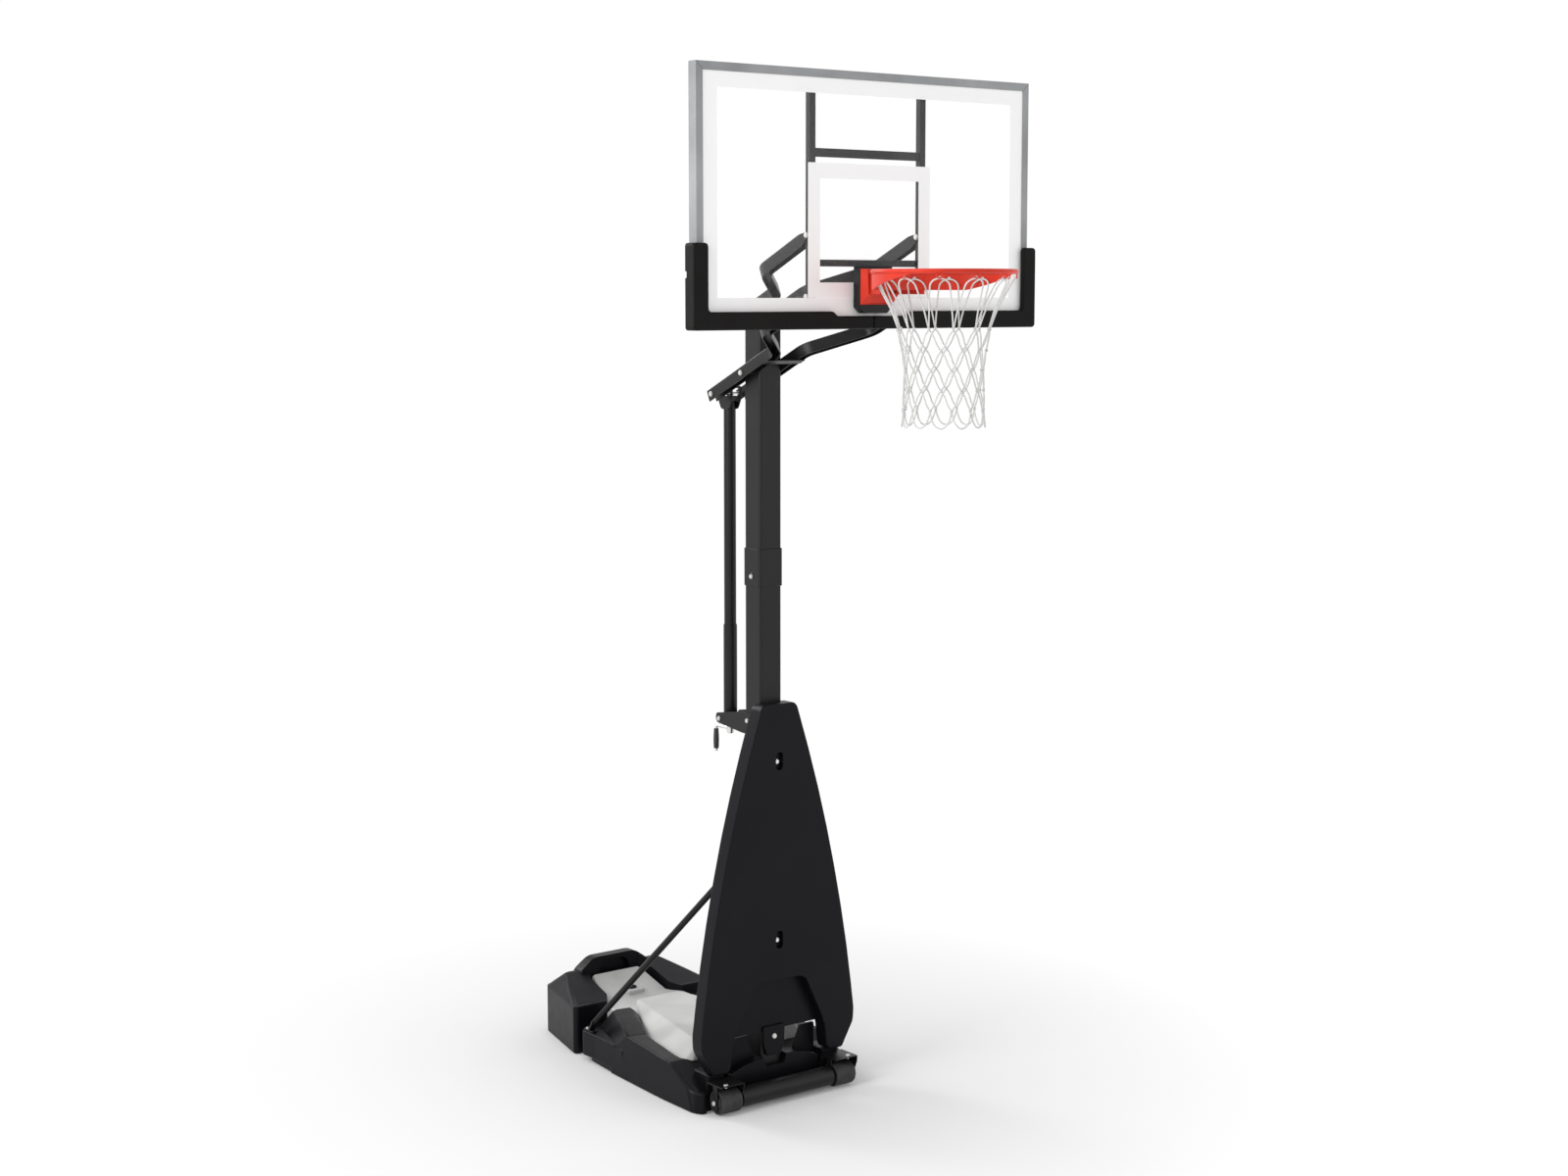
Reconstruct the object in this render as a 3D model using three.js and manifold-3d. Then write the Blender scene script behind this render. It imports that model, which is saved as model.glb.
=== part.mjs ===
// Portable basketball hoop: ballasted base, square pole, crank-lifted parallelogram arms,
// framed clear backboard with a breakaway rim and a net.
// Millimetres. +Z up, floor at z = 0, pole axis on the origin, court side towards -Y.
import * as THREE from 'three';
import { ConvexGeometry } from 'three/addons/geometries/ConvexGeometry.js';
import { mergeVertices } from 'three/addons/utils/BufferGeometryUtils.js';
import Module from 'manifold-3d';

const wasm = await Module();
wasm.setup();

// Driving dimensions
const GAP = 0.4;
const BOARD_HALF = 725;
const BOARD_TOP = 3709;
const BOARD_BOTTOM = 2865;
const BOARD_FRONT = -610;
const FRAME_FACE = 28;
const FRAME_DEPTH = 42;
const SHEET_THICK = 6;
const UPRIGHT_X = 241;
const UPRIGHT_SIZE = 25.4;
const PAD_HALF = 750;
const PAD_TOP = 3131;
const PAD_BOTTOM = 2849;
const PAD_FRONT = -632;
const PAD_BACK = -579;

const RIM_CENTRE_Y = -993;
const RIM_TOP = 3048;
const RIM_RADIUS = 236.5;
const RIM_BAR = 8;
const RIM_MOUNT_HALF = 73;
const NET_PROFILE = [
  [228, 0], [208, 40], [176, 100], [153, 165], [135, 245], [130, 320], [133, 400], [138, 490],
];

const POLE_SIZE = 97;
const POLE_WALL = 3;
const POLE_SPLIT = 1979;
const POLE_TOP = 2944;
const COLLAR_LOW = 1909;
const COLLAR_HIGH = 2047;

const PIVOT_Y = 22;
const LOWER_PIVOT_Z = 2685;
const UPPER_PIVOT_Z = 2890;
const BOARD_PIVOT_Y = -587;
const BOARD_PIVOT_RISE = 273;
const ARM_IN_X = 66.5;
const ARM_WIDTH = 34;
const ARM_HEIGHT = 44;
const ARM_WALL = 3;
const REAR_LEVER = 200;
const PIN_RADIUS = 6;
const PIN_HOLE = 6.4;

const JACK_BASE_Z = 1392;
const JACK_TUBE_TOP = 1744;
const JACK_TUBE_RADIUS = 25.5;
const JACK_TUBE_BORE = 23.2;
const JACK_ROD_RADIUS = 22.5;
const YOKE_SLOT_HALF = 35;
const YOKE_SLOT_LOW = -9;
const YOKE_SLOT_HIGH = 19;
const YOKE_RIM = 9;

const ROLLER_Y = -126;
const ROLLER_Z = 48;
const ROLLER_RADIUS = 45;
const ROLLER_IN = 220;
const ROLLER_OUT = 309;
const AXLE_RADIUS = 5.5;

const ARM_LENGTH = Math.hypot(PIVOT_Y - BOARD_PIVOT_Y, BOARD_PIVOT_RISE);
const ARM_SLOPE = Math.atan2(BOARD_PIVOT_RISE, PIVOT_Y - BOARD_PIVOT_Y);
const REAR_PIN_Y = PIVOT_Y + REAR_LEVER * Math.cos(ARM_SLOPE);
const REAR_PIN_Z = LOWER_PIVOT_Z - REAR_LEVER * Math.sin(ARM_SLOPE);

const FINISHES = {
  black_plastic: [0x1b1b1f, 0.55, 0],
  grey_plastic: [0xc4c4c4, 0.6, 0],
  black_metal: [0x232325, 0.4, 0.1],
  grey_metal: [0xa3a5a5, 0.4, 0.2],
  red_metal: [0xe2412c, 0.35, 0.1],
  zinc: [0xd0d0ce, 0.35, 0.9],
  clear_sheet: [0xeef4f6, 0.05, 0],
  rubber: [0x1d1d1d, 0.8, 0],
  net_cord: [0xf2f2f0, 0.9, 0],
};

const hoop = new THREE.Group();
hoop.name = 'portable_basketball_hoop';

function add(name, finish, geometry) {
  const [color, roughness, metalness] = FINISHES[finish];
  const material = new THREE.MeshStandardMaterial({ color, roughness, metalness });
  const mesh = new THREE.Mesh(geometry, material);
  mesh.name = name;
  hoop.add(mesh);
}

// Booleans
function toManifold(geometry) {
  const bare = new THREE.BufferGeometry();
  bare.setAttribute('position', geometry.getAttribute('position'));
  if (geometry.index) bare.setIndex(geometry.index);
  const merged = mergeVertices(bare, 1e-4);
  const mesh = new wasm.Mesh({
    numProp: 3,
    vertProperties: new Float32Array(merged.getAttribute('position').array),
    triVerts: new Uint32Array(merged.index.array),
  });
  return new wasm.Manifold(mesh);
}

function fromManifold(solid) {
  const mesh = solid.getMesh();
  const geometry = new THREE.BufferGeometry();
  geometry.setAttribute('position', new THREE.BufferAttribute(new Float32Array(mesh.vertProperties), 3));
  geometry.setIndex(new THREE.BufferAttribute(new Uint32Array(mesh.triVerts), 1));
  return geometry;
}

function join(parts) {
  const solids = parts.map(toManifold);
  return fromManifold(solids.reduce((whole, piece) => whole.add(piece)));
}

function cut(base, tools) {
  const start = toManifold(base);
  return fromManifold(tools.map(toManifold).reduce((whole, piece) => whole.subtract(piece), start));
}

// Basic solids
function outline(points, radius = 0) {
  const count = points.length;
  const shape = new THREE.Shape();
  points.forEach((corner, i) => {
    const here = new THREE.Vector2(...corner);
    const before = new THREE.Vector2(...points[(i + count - 1) % count]);
    const after = new THREE.Vector2(...points[(i + 1) % count]);
    const reach = Math.min(radius, here.distanceTo(before) / 2.2, here.distanceTo(after) / 2.2);
    const enter = here.clone().add(before.sub(here).setLength(reach));
    const leave = here.clone().add(after.sub(here).setLength(reach));
    if (i === 0) shape.moveTo(enter.x, enter.y);
    else shape.lineTo(enter.x, enter.y);
    if (radius > 0) shape.quadraticCurveTo(here.x, here.y, leave.x, leave.y);
  });
  shape.closePath();
  return shape;
}

function slab(shape, depth, bevel = 0, steps = 1) {
  const geometry = new THREE.ExtrudeGeometry(shape, {
    depth: depth - 2 * bevel,
    bevelEnabled: bevel > 0,
    bevelThickness: bevel,
    bevelSize: bevel,
    bevelOffset: -bevel,
    bevelSegments: steps,
    curveSegments: 2,
    steps: 1,
  });
  return geometry.translate(0, 0, bevel);
}

function alongZ(shape, low, high, bevel = 0, steps = 1) {
  return slab(shape, high - low, bevel, steps).translate(0, 0, low);
}

function alongY(shape, front, back, bevel = 0, steps = 1) {
  return slab(shape, back - front, bevel, steps).rotateX(Math.PI / 2).translate(0, back, 0);
}

function alongX(shape, left, right, bevel = 0, steps = 1) {
  const geometry = slab(shape, right - left, bevel, steps);
  const turn = new THREE.Matrix4().makeBasis(
    new THREE.Vector3(0, 1, 0),
    new THREE.Vector3(0, 0, 1),
    new THREE.Vector3(1, 0, 0),
  );
  return geometry.applyMatrix4(turn).translate(left, 0, 0);
}

function box(x0, x1, y0, y1, z0, z1) {
  const geometry = new THREE.BoxGeometry(x1 - x0, y1 - y0, z1 - z0);
  return geometry.translate((x0 + x1) / 2, (y0 + y1) / 2, (z0 + z1) / 2);
}

function rodX(radius, x0, x1, y, z, sides = 20) {
  const geometry = new THREE.CylinderGeometry(radius, radius, x1 - x0, sides);
  return geometry.rotateZ(Math.PI / 2).translate((x0 + x1) / 2, y, z);
}

function rodY(radius, y0, y1, x, z, sides = 20) {
  return new THREE.CylinderGeometry(radius, radius, y1 - y0, sides).translate(x, (y0 + y1) / 2, z);
}

function rodZ(radius, z0, z1, x, y, sides = 20) {
  const geometry = new THREE.CylinderGeometry(radius, radius, z1 - z0, sides);
  return geometry.rotateX(Math.PI / 2).translate(x, y, (z0 + z1) / 2);
}

function mirrored(half) {
  const other = half.map(([x, y]) => [-x, y]).reverse();
  return half.concat(other.filter(([x]) => x !== 0));
}

function squareRing(size, wall, radius) {
  const h = size / 2;
  const i = h - wall;
  const shape = outline([[-h, -h], [h, -h], [h, h], [-h, h]], radius);
  shape.holes.push(outline([[-i, -i], [-i, i], [i, i], [i, -i]], Math.max(radius - wall, 0.5)));
  return shape;
}

function boltX(x0, x1, y, z, radius, head) {
  return join([
    rodX(radius, x0, x1, y, z, 12),
    rodX(head, x0 - 6, x0, y, z, 6),
    rodX(head, x1, x1 + 6, y, z, 6),
  ]);
}

function boltY(y0, y1, x, z, radius, head) {
  return join([rodY(radius, y0, y1, x, z, 12), rodY(head, y0 - 5, y0, x, z, 6)]);
}

function boltZ(z0, z1, x, y, radius, head) {
  return join([rodZ(radius, z0, z1, x, y, 12), rodZ(head, z1, z1 + 5, x, y, 6)]);
}

// Base
const TANK_HALF = [
  [0, 92], [262, 92], [292, 120], [292, 160], [262, 395], [166, 600], [153, 690],
  [184, 734], [184, 786], [148, 837], [145, 955], [118, 1010], [0, 1010],
];

function tankOutline(grow) {
  const spread = TANK_HALF.map(([x, y]) => [
    x === 0 ? 0 : x + grow,
    y < 100 ? y - grow : y > 1000 ? y + grow : y,
  ]);
  return outline(mirrored(spread), 10);
}

function hull(half) {
  const corners = half.flatMap(([x, y, z]) => [new THREE.Vector3(x, y, z), new THREE.Vector3(-x, y, z)]);
  return new ConvexGeometry(corners);
}

function oneSided(side, points) {
  return new ConvexGeometry(points.map(([x, y, z]) => new THREE.Vector3(side * x, y, z)));
}

const RIM_HULL = [
  [340, -72, 0], [366, -50, 0], [366, 150, 0], [352, 420, 0], [347, 520, 0],
  [340, -72, 76], [364, -20, 80], [354, 110, 149], [333, 420, 166], [345, 500, 104],
];
const HIP_HULL = [
  [333, 418, 166], [250, 400, 166], [345, 500, 100], [290, 612, 112], [268, 722, 112], [160, 722, 112],
  [225, 678, 190], [191, 664, 190], [140, 664, 190], [200, 562, 190], [262, 552, 184], [140, 420, 112],
];
const CROWN_HULL = [
  [316, 794, 150], [329, 806, 150], [253, 1118, 150], [235, 1144, 150], [10, 1149, 150],
  [316, 794, 187], [329, 806, 187], [253, 1118, 187], [235, 1144, 187], [10, 1149, 187],
  [228, 1030, 256], [200, 1046, 256],
];

function baseVessel() {
  const body = outline(mirrored([[0, 400], [352, 420], [334, 620], [326, 690], [0, 690]]));
  const shelf = outline(mirrored([[0, 480], [346, 480], [340, 640], [342, 722], [326, 736], [0, 736]]));
  const neck = outline(mirrored([[0, 600], [276, 600], [276, 900], [0, 900]]));
  const lobe = outline(mirrored([[0, 790], [318, 790], [331, 802], [254, 1120], [236, 1146], [0, 1152]]));
  const onSide = (side, points, radius) => outline(points.map(([x, y]) => [side * x, y]), radius);
  const toe = [[322, -60], [322, -90], [345, -90], [362, -62], [362, -20], [322, -20]];
  const seat = [[228, -70], [304, -70], [304, 30], [228, 30]];
  const wall = outline(mirrored([
    [0, 152], [62, 152], [100, 148], [141, 141], [198, 122], [206, 112], [206, 40], [0, 40],
  ]));
  const handle = outline([
    [-170, 230], [-165, 256], [-132, 281], [-98, 303], [98, 303], [132, 281], [165, 256], [170, 230],
  ]);
  const solid = join([
    hull(RIM_HULL),
    alongZ(body, 0, 112, 12),
    alongZ(shelf, 20, 118, 8),
    alongZ(neck, 0, 112, 10),
    alongZ(lobe, 0, 190, 14),
    hull(CROWN_HULL),
    alongY(wall, -72, 0, 4),
    alongY(handle, 1004, 1064, 8),
    ...[-1, 1].flatMap((side) => [
      oneSided(side, HIP_HULL),
      alongZ(onSide(side, toe), 0, 78, 8),
      alongZ(onSide(side, seat, 12), 20, 134, 6),
    ]),
  ]);
  const arch = outline([[-78, 215], [-72, 258], [-48, 284], [48, 284], [72, 258], [78, 215]]);
  const frontNotch = outline([[-58, 170], [-43, 117], [43, 117], [58, 170]]);
  const footHalf = POLE_SIZE / 2 + 0.8;
  return cut(solid, [
    alongZ(tankOutline(1.5), 34, 330),
    alongY(arch, 980, 1034),
    alongY(frontNotch, -140, -20),
    box(-footHalf, footHalf, -footHalf, footHalf, 30, 300),
    ...[-1, 1].map((side) => rodZ(5.6, 40, 200, side * 322, 712, 16)),
  ]);
}

const BLOCK_HULL = [
  [262, 96, 126], [286, 122, 126], [286, 160, 126], [257, 393, 126], [161, 602, 126], [98, 712, 126],
  [225, 106, 204], [195, 250, 204], [98, 698, 204], [98, 710, 194],
];
const RAMP_HULL = [
  [143, 838, 150], [141, 950, 150], [114, 1004, 150], [143, 838, 166], [117, 998, 230], [106, 1004, 236],
];

function ballastTank() {
  const rearPlate = outline(mirrored([
    [0, 640], [158, 640], [153, 690], [184, 734], [184, 786], [148, 837], [145, 955], [118, 1010], [0, 1010],
  ]), 10);
  const capPad = outline([[-42, 850], [42, 850], [42, 935], [-42, 935]], 14);
  const solid = join([
    alongZ(tankOutline(0), 36, 132, 8),
    alongZ(rearPlate, 100, 168, 8),
    hull(BLOCK_HULL),
    hull(RAMP_HULL),
    alongZ(capPad, 120, 190, 6),
  ]);
  return cut(solid, [
    rodZ(24, 178, 330, 0, 892, 28),
    rodZ(17, 150, 330, 0, 892, 28),
  ]);
}

function fillerCap() {
  const grips = Array.from({ length: 12 }, (_, i) => {
    const turn = (i * Math.PI) / 6;
    return rodZ(1.6, 179, 195, 22.6 * Math.cos(turn), 892 + 22.6 * Math.sin(turn), 8);
  });
  const body = join([rodZ(22.5, 178.5, 196, 0, 892, 36), rodZ(16.2, 158, 180, 0, 892, 24)]);
  return cut(body, grips);
}

add('base_vessel', 'black_plastic', baseVessel());
add('ballast_tank', 'grey_plastic', ballastTank());
add('filler_cap', 'black_plastic', fillerCap());

// Rollers
function wheelBracket(side) {
  const cheek = outline([[-76, 20], [-76, 116], [-168, 116], [-168, 96], [-140, 26], [-120, 20]], 6);
  const inner = side > 0 ? 213 : -216;
  const outer = side > 0 ? 313 : -316;
  const low = Math.min(inner, outer);
  const high = Math.max(inner, outer) + 3;
  const solid = join([
    alongX(cheek, inner, inner + 3),
    alongX(cheek, outer, outer + 3),
    box(low, high, -168, -76, 113, 116),
    box(low, high, -76, -73, 20, 116),
  ]);
  return cut(solid, [
    rodX(AXLE_RADIUS + GAP, low - 5, high + 5, ROLLER_Y, ROLLER_Z, 20),
    rodZ(5.2, 100, 130, side * 284, -150, 16),
  ]);
}

function roller(side) {
  const half = (ROLLER_OUT - ROLLER_IN) / 2;
  const bore = AXLE_RADIUS + GAP;
  const profile = [
    [bore, -half], [18, -half], [20, -half + 5], [38, -half + 5], [41, -half], [ROLLER_RADIUS - 2, -half + 1],
    [ROLLER_RADIUS, -half + 5], [ROLLER_RADIUS, half - 5], [ROLLER_RADIUS - 2, half - 1], [41, half],
    [38, half - 5], [20, half - 5], [18, half], [bore, half], [bore, -half],
  ].map(([r, h]) => new THREE.Vector2(r, h));
  const wheel = new THREE.LatheGeometry(profile, 20);
  return wheel.rotateZ(Math.PI / 2).translate((side * (ROLLER_IN + ROLLER_OUT)) / 2, ROLLER_Y, ROLLER_Z);
}

function axleTube() {
  const tube = new THREE.Shape().absarc(0, 0, 37, 0, 2 * Math.PI, false);
  tube.holes.push(new THREE.Path().absarc(0, 0, 33, 0, 2 * Math.PI, true));
  return alongX(tube, -210, 210).translate(0, ROLLER_Y, ROLLER_Z);
}

for (const [label, side] of [['left', -1], ['right', 1]]) {
  add(`wheel_bracket_${label}`, 'black_metal', wheelBracket(side));
  add(`bracket_bolt_${label}`, 'zinc', boltZ(104, 116 + GAP, side * 284, -150, 4.8, 9));
  add(`roller_${label}`, 'rubber', roller(side));
}
add('axle', 'zinc', boltX(-319.5, 319.5, ROLLER_Y, ROLLER_Z, AXLE_RADIUS, 9));
add('axle_tube', 'black_metal', axleTube());

// Front cover
const COVER_HALF = [
  [0, 1482], [70, 1482], [84, 1468], [136, 1308], [182, 1154], [223, 1000], [259, 846], [291, 692],
  [319, 536], [342, 380], [355, 280], [352, 230], [306, 150], [298, 136], [236, 136], [224, 150],
  [212, 250], [126, 250], [0, 250],
];

function coverOutline(inset) {
  const half = COVER_HALF.map(([x, z]) => [
    x === 0 ? 0 : x - inset,
    z > 1400 ? z - inset : z < 160 ? z + inset : z,
  ]);
  return outline(mirrored(half), 8);
}

function slotShape(low, high, half) {
  return outline([[-half, low], [half, low], [half, high], [-half, high]], half);
}

function frontCover() {
  const shell = alongY(coverOutline(0), -100, -36, 7);
  const arch = outline(mirrored([
    [0, 448], [108, 440], [126, 432], [206, 262], [214, 200], [0, 200],
  ]), 10);
  const pocket = outline(mirrored([
    [0, 1474], [62, 1474], [75, 1460], [170, 1150], [211, 998], [247, 844], [279, 690], [306, 534],
    [315, 472], [0, 472],
  ]), 10);
  const tab = outline([[-26, 300], [26, 300], [26, 214], [18, 206], [-18, 206], [-26, 214]]);
  const solid = join([
    cut(shell, [alongY(arch, -130, -57), alongY(pocket, -94, -20)]),
    alongY(slotShape(1222, 1318, 30), -96, -49.2),
    alongY(slotShape(552, 648, 30), -96, -49.2),
    alongY(tab, -66, -52),
  ]);
  return cut(solid, [
    alongY(slotShape(1237, 1303, 16), -130, -82),
    alongY(slotShape(567, 633, 16), -130, -82),
    ...[1266, 596, 226].map((z) => rodY(5.6, -100, -20, 0, z, 12)),
    box(-50, 50, -49.2, -20, 100, 1600),
  ]);
}

add('front_cover', 'black_plastic', frontCover());
add('cover_bolt_upper', 'zinc', boltY(-82.4, -49.6, 0, 1266, 5, 9));
add('cover_bolt_lower', 'zinc', boltY(-82.4, -49.6, 0, 596, 5, 9));
add('cover_bolt_foot', 'zinc', boltY(-66.4, -49.6, 0, 226, 5, 10));

// Pole
const poleRing = squareRing(POLE_SIZE, POLE_WALL, 6);
const throughHole = (y, z, radius = PIN_HOLE) => rodX(radius, -120, 120, y, z, 16);
add('pole_lower', 'black_metal', cut(alongZ(poleRing, 30.5, POLE_SPLIT - GAP), [
  throughHole(0, 1945),
  throughHole(20, 917),
  throughHole(27, 1408),
]));
add('pole_upper', 'black_metal', cut(alongZ(poleRing, POLE_SPLIT, POLE_TOP), [
  throughHole(PIVOT_Y, LOWER_PIVOT_Z),
  throughHole(PIVOT_Y, UPPER_PIVOT_Z),
]));
add('pole_collar', 'black_metal', cut(
  alongZ(squareRing(POLE_SIZE + 8, 4 - GAP, 8), COLLAR_LOW, COLLAR_HIGH),
  [throughHole(0, 1945)],
));
add('collar_bolt', 'zinc', boltX(-53.2, 53.2, 0, 1945, PIN_RADIUS, 9));
add('pole_cap', 'black_plastic', join([
  alongZ(outline([[-50, -50], [50, -50], [50, 50], [-50, 50]], 8), POLE_TOP + GAP, POLE_TOP + 9, 3),
  box(-44, 44, -44, 44, POLE_TOP - 14, POLE_TOP + 2),
]));

// Struts between the pole and the rear of the base
const STRUT_TOP = new THREE.Vector3(60, 20, 917);
const STRUT_FOOT = new THREE.Vector3(322, 672, 152);

function strut(side) {
  const top = STRUT_TOP.clone().setX(side * STRUT_TOP.x);
  const foot = STRUT_FOOT.clone().setX(side * STRUT_FOOT.x);
  const run = foot.clone().sub(top).normalize();
  const circle = new THREE.Shape().absarc(0, 0, 12.5, 0, 2 * Math.PI, false);
  const path = new THREE.LineCurve3(top.clone().addScaledVector(run, 42), foot);
  const tube = new THREE.ExtrudeGeometry(circle, {
    extrudePath: path, steps: 1, curveSegments: 10, bevelEnabled: false,
  });
  const inner = side > 0 ? 49.4 : -55.4;
  const bend = 60;
  const head = alongX(outline([[4, 936], [34, 936], [56, 886], [30, 868], [4, 900]], 4), inner, inner + 6);
  const link = new THREE.BoxGeometry(14, 22, 22).translate(side * bend, 40, 894);
  const footPlate = alongZ(outline([[-14, 660], [14, 660], [14, 728], [-14, 728]], 8), 119, 125)
    .translate(side * 322, 0, 0);
  const riser = new THREE.BoxGeometry(26, 9, 52).rotateX(0.55).translate(side * 322, 676, 144);
  return cut(join([tube, head, link, riser, footPlate]), [
    rodX(PIN_HOLE, -90, 90, 20, 917, 16),
    rodZ(5.6, 90, 140, side * 322, 712, 16),
  ]);
}

for (const [label, side] of [['left', -1], ['right', 1]]) {
  add(`strut_${label}`, 'black_metal', strut(side));
  add(`strut_bolt_${label}`, 'zinc', boltZ(60, 125 + GAP, side * 322, 712, 5, 9));
}
add('strut_head_bolt', 'zinc', boltX(-56, 56, 20, 917, PIN_RADIUS, 10));

// Screw jack with its crank
function jackBracket() {
  const ear = outline([
    [4, 1438], [60, 1438], [222, 1412], [228, 1392], [218, 1376], [60, 1358], [4, 1358],
  ], 6);
  return cut(join([
    alongX(ear, -52.4, -49),
    alongX(ear, 49, 52.4),
    box(-52, 52, 49.2, 53.2, 1362, 1434),
  ]), [
    throughHole(27, 1408),
    throughHole(REAR_PIN_Y, JACK_BASE_Z),
  ]);
}

function jackTube() {
  const ring = new THREE.Shape().absarc(0, 0, JACK_TUBE_RADIUS, 0, 2 * Math.PI, false);
  ring.holes.push(new THREE.Path().absarc(0, 0, JACK_TUBE_BORE, 0, 2 * Math.PI, true));
  const trunnion = rodX(10, -47.5, 47.5, REAR_PIN_Y, JACK_BASE_Z, 20);
  return cut(join([
    alongZ(ring, 1404, JACK_TUBE_TOP).translate(0, REAR_PIN_Y, 0),
    rodZ(24.5, 1372, 1408, 0, REAR_PIN_Y, 32),
    trunnion,
  ]), [
    rodZ(8.4, 1360, 1420, 0, REAR_PIN_Y, 20),
    rodX(PIN_HOLE, -60, -27, REAR_PIN_Y, JACK_BASE_Z, 16),
    rodX(PIN_HOLE, 27, 60, REAR_PIN_Y, JACK_BASE_Z, 16),
  ]);
}

function stubPin(side) {
  const inner = side > 0 ? 28 : -53;
  const head = side > 0 ? 53 : -59;
  return join([
    rodX(PIN_RADIUS, inner, inner + 25, REAR_PIN_Y, JACK_BASE_Z, 16),
    rodX(9, head, head + 6, REAR_PIN_Y, JACK_BASE_Z, 6),
  ]);
}

function yokePlate(x) {
  const y = REAR_PIN_Y;
  const z = REAR_PIN_Z;
  const reach = YOKE_SLOT_HALF + YOKE_RIM;
  const bottom = z + YOKE_SLOT_LOW - YOKE_RIM;
  const top = z + YOKE_SLOT_HIGH + YOKE_RIM;
  const plate = outline([
    [y - reach, bottom], [y - 24, z - 58], [y + 24, z - 58],
    [y + reach, bottom], [y + reach, top], [y - reach, top],
  ], 10);
  const slot = outline([
    [y - YOKE_SLOT_HALF, z + YOKE_SLOT_LOW], [y + YOKE_SLOT_HALF, z + YOKE_SLOT_LOW],
    [y + YOKE_SLOT_HALF, z + YOKE_SLOT_HIGH], [y - YOKE_SLOT_HALF, z + YOKE_SLOT_HIGH],
  ].reverse(), 12);
  plate.holes.push(slot);
  return alongX(plate, x - 2.5, x + 2.5);
}

function jackRod() {
  const ring = new THREE.Shape().absarc(0, 0, JACK_ROD_RADIUS, 0, 2 * Math.PI, false);
  ring.holes.push(new THREE.Path().absarc(0, 0, JACK_ROD_RADIUS - 3, 0, 2 * Math.PI, true));
  return join([
    alongZ(ring, 1440, REAR_PIN_Z - 30).translate(0, REAR_PIN_Y, 0),
    rodZ(JACK_ROD_RADIUS - 1, REAR_PIN_Z - 60, REAR_PIN_Z - 28, 0, REAR_PIN_Y, 32),
    yokePlate(20),
    yokePlate(-20),
  ]);
}

function crank() {
  const y = REAR_PIN_Y;
  return join([
    rodZ(8, 1330, 1700, 0, y, 16),
    rodZ(14, 1332, 1368, 0, y, 16),
    rodY(6, y, y + 92, 0, 1349, 12),
    new THREE.SphereGeometry(8, 12, 8).translate(0, y + 92, 1349),
    rodZ(4.5, 1252, 1349, 0, y + 92, 16),
    rodZ(7, 1250, 1256, 0, y + 92, 16),
  ]);
}

function crankGrip() {
  const profile = [
    [5, 1259], [9, 1259], [11, 1266], [10, 1290], [10.8, 1312], [10.5, 1330], [8, 1336], [5, 1336], [5, 1259],
  ].map(([r, h]) => new THREE.Vector2(r, h));
  return new THREE.LatheGeometry(profile, 24).rotateX(Math.PI / 2).translate(0, REAR_PIN_Y + 92, 0);
}

add('jack_bracket', 'black_metal', jackBracket());
add('bracket_bolt_upper', 'zinc', boltX(-53, 53, 27, 1408, PIN_RADIUS, 9));
for (const [label, side] of [['left', -1], ['right', 1]]) {
  add(`jack_pin_${label}`, 'zinc', stubPin(side));
}
add('jack_tube', 'black_metal', jackTube());
add('jack_rod', 'black_metal', jackRod());
add('crank', 'zinc', crank());
add('crank_grip', 'rubber', crankGrip());

// Lift arms, drawn flat along their length and then set on their slope
function band(path, near, far) {
  const offset = (distance) => path.map((point, i) => {
    const here = new THREE.Vector2(...point);
    const before = i > 0 ? here.clone().sub(new THREE.Vector2(...path[i - 1])).normalize() : null;
    const after = i < path.length - 1 ? new THREE.Vector2(...path[i + 1]).sub(here).normalize() : null;
    const way = (before ?? after).clone().add(after ?? before).normalize();
    const stretch = 1 / way.dot(before ?? after);
    return [here.x - way.y * distance * stretch, here.y + way.x * distance * stretch];
  });
  return outline(offset(near).concat(offset(far).reverse()));
}

function arm(side, rear, holes, pivotZ) {
  const half = ARM_WIDTH / 2;
  const rise = ARM_HEIGHT / 2;
  const path = [
    [-rear, side * ARM_IN_X],
    [205, side * ARM_IN_X],
    [385, side * UPRIGHT_X],
    [ARM_LENGTH + 14, side * UPRIGHT_X],
  ];
  const webPath = path.slice(0, 3).concat([[ARM_LENGTH - 56, side * UPRIGHT_X]]);
  const wall = (near, far) => alongZ(band(path, near, far), -rise, rise);
  const web = alongZ(band(webPath, -half, half), rise - ARM_WALL, rise);
  const flat = join([wall(-half, -half + ARM_WALL), wall(half - ARM_WALL, half), web]);
  const noseHalf = [
    [-48, rise + 1], [-48, rise], [-6, 12], [5, 11], [10, 7], [12.4, 0], [40, 0], [40, rise + 1],
  ];
  const nose = outline(noseHalf.map(([s, n]) => [ARM_LENGTH + s, n]));
  const chin = outline(noseHalf.map(([s, n]) => [ARM_LENGTH + s, -n]));
  const sideCut = (shape) => slab(shape, 600).rotateX(Math.PI / 2).translate(0, 300, 0);
  const pins = holes.map((s) => rodY(PIN_HOLE, -300, 300, s, 0, 16));
  const flatCut = cut(flat, [sideCut(nose), sideCut(chin), ...pins]);
  const place = new THREE.Matrix4().makeBasis(
    new THREE.Vector3(0, -Math.cos(ARM_SLOPE), Math.sin(ARM_SLOPE)),
    new THREE.Vector3(1, 0, 0),
    new THREE.Vector3(0, Math.sin(ARM_SLOPE), Math.cos(ARM_SLOPE)),
  );
  return flatCut.applyMatrix4(place).translate(0, PIVOT_Y, pivotZ);
}

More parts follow.
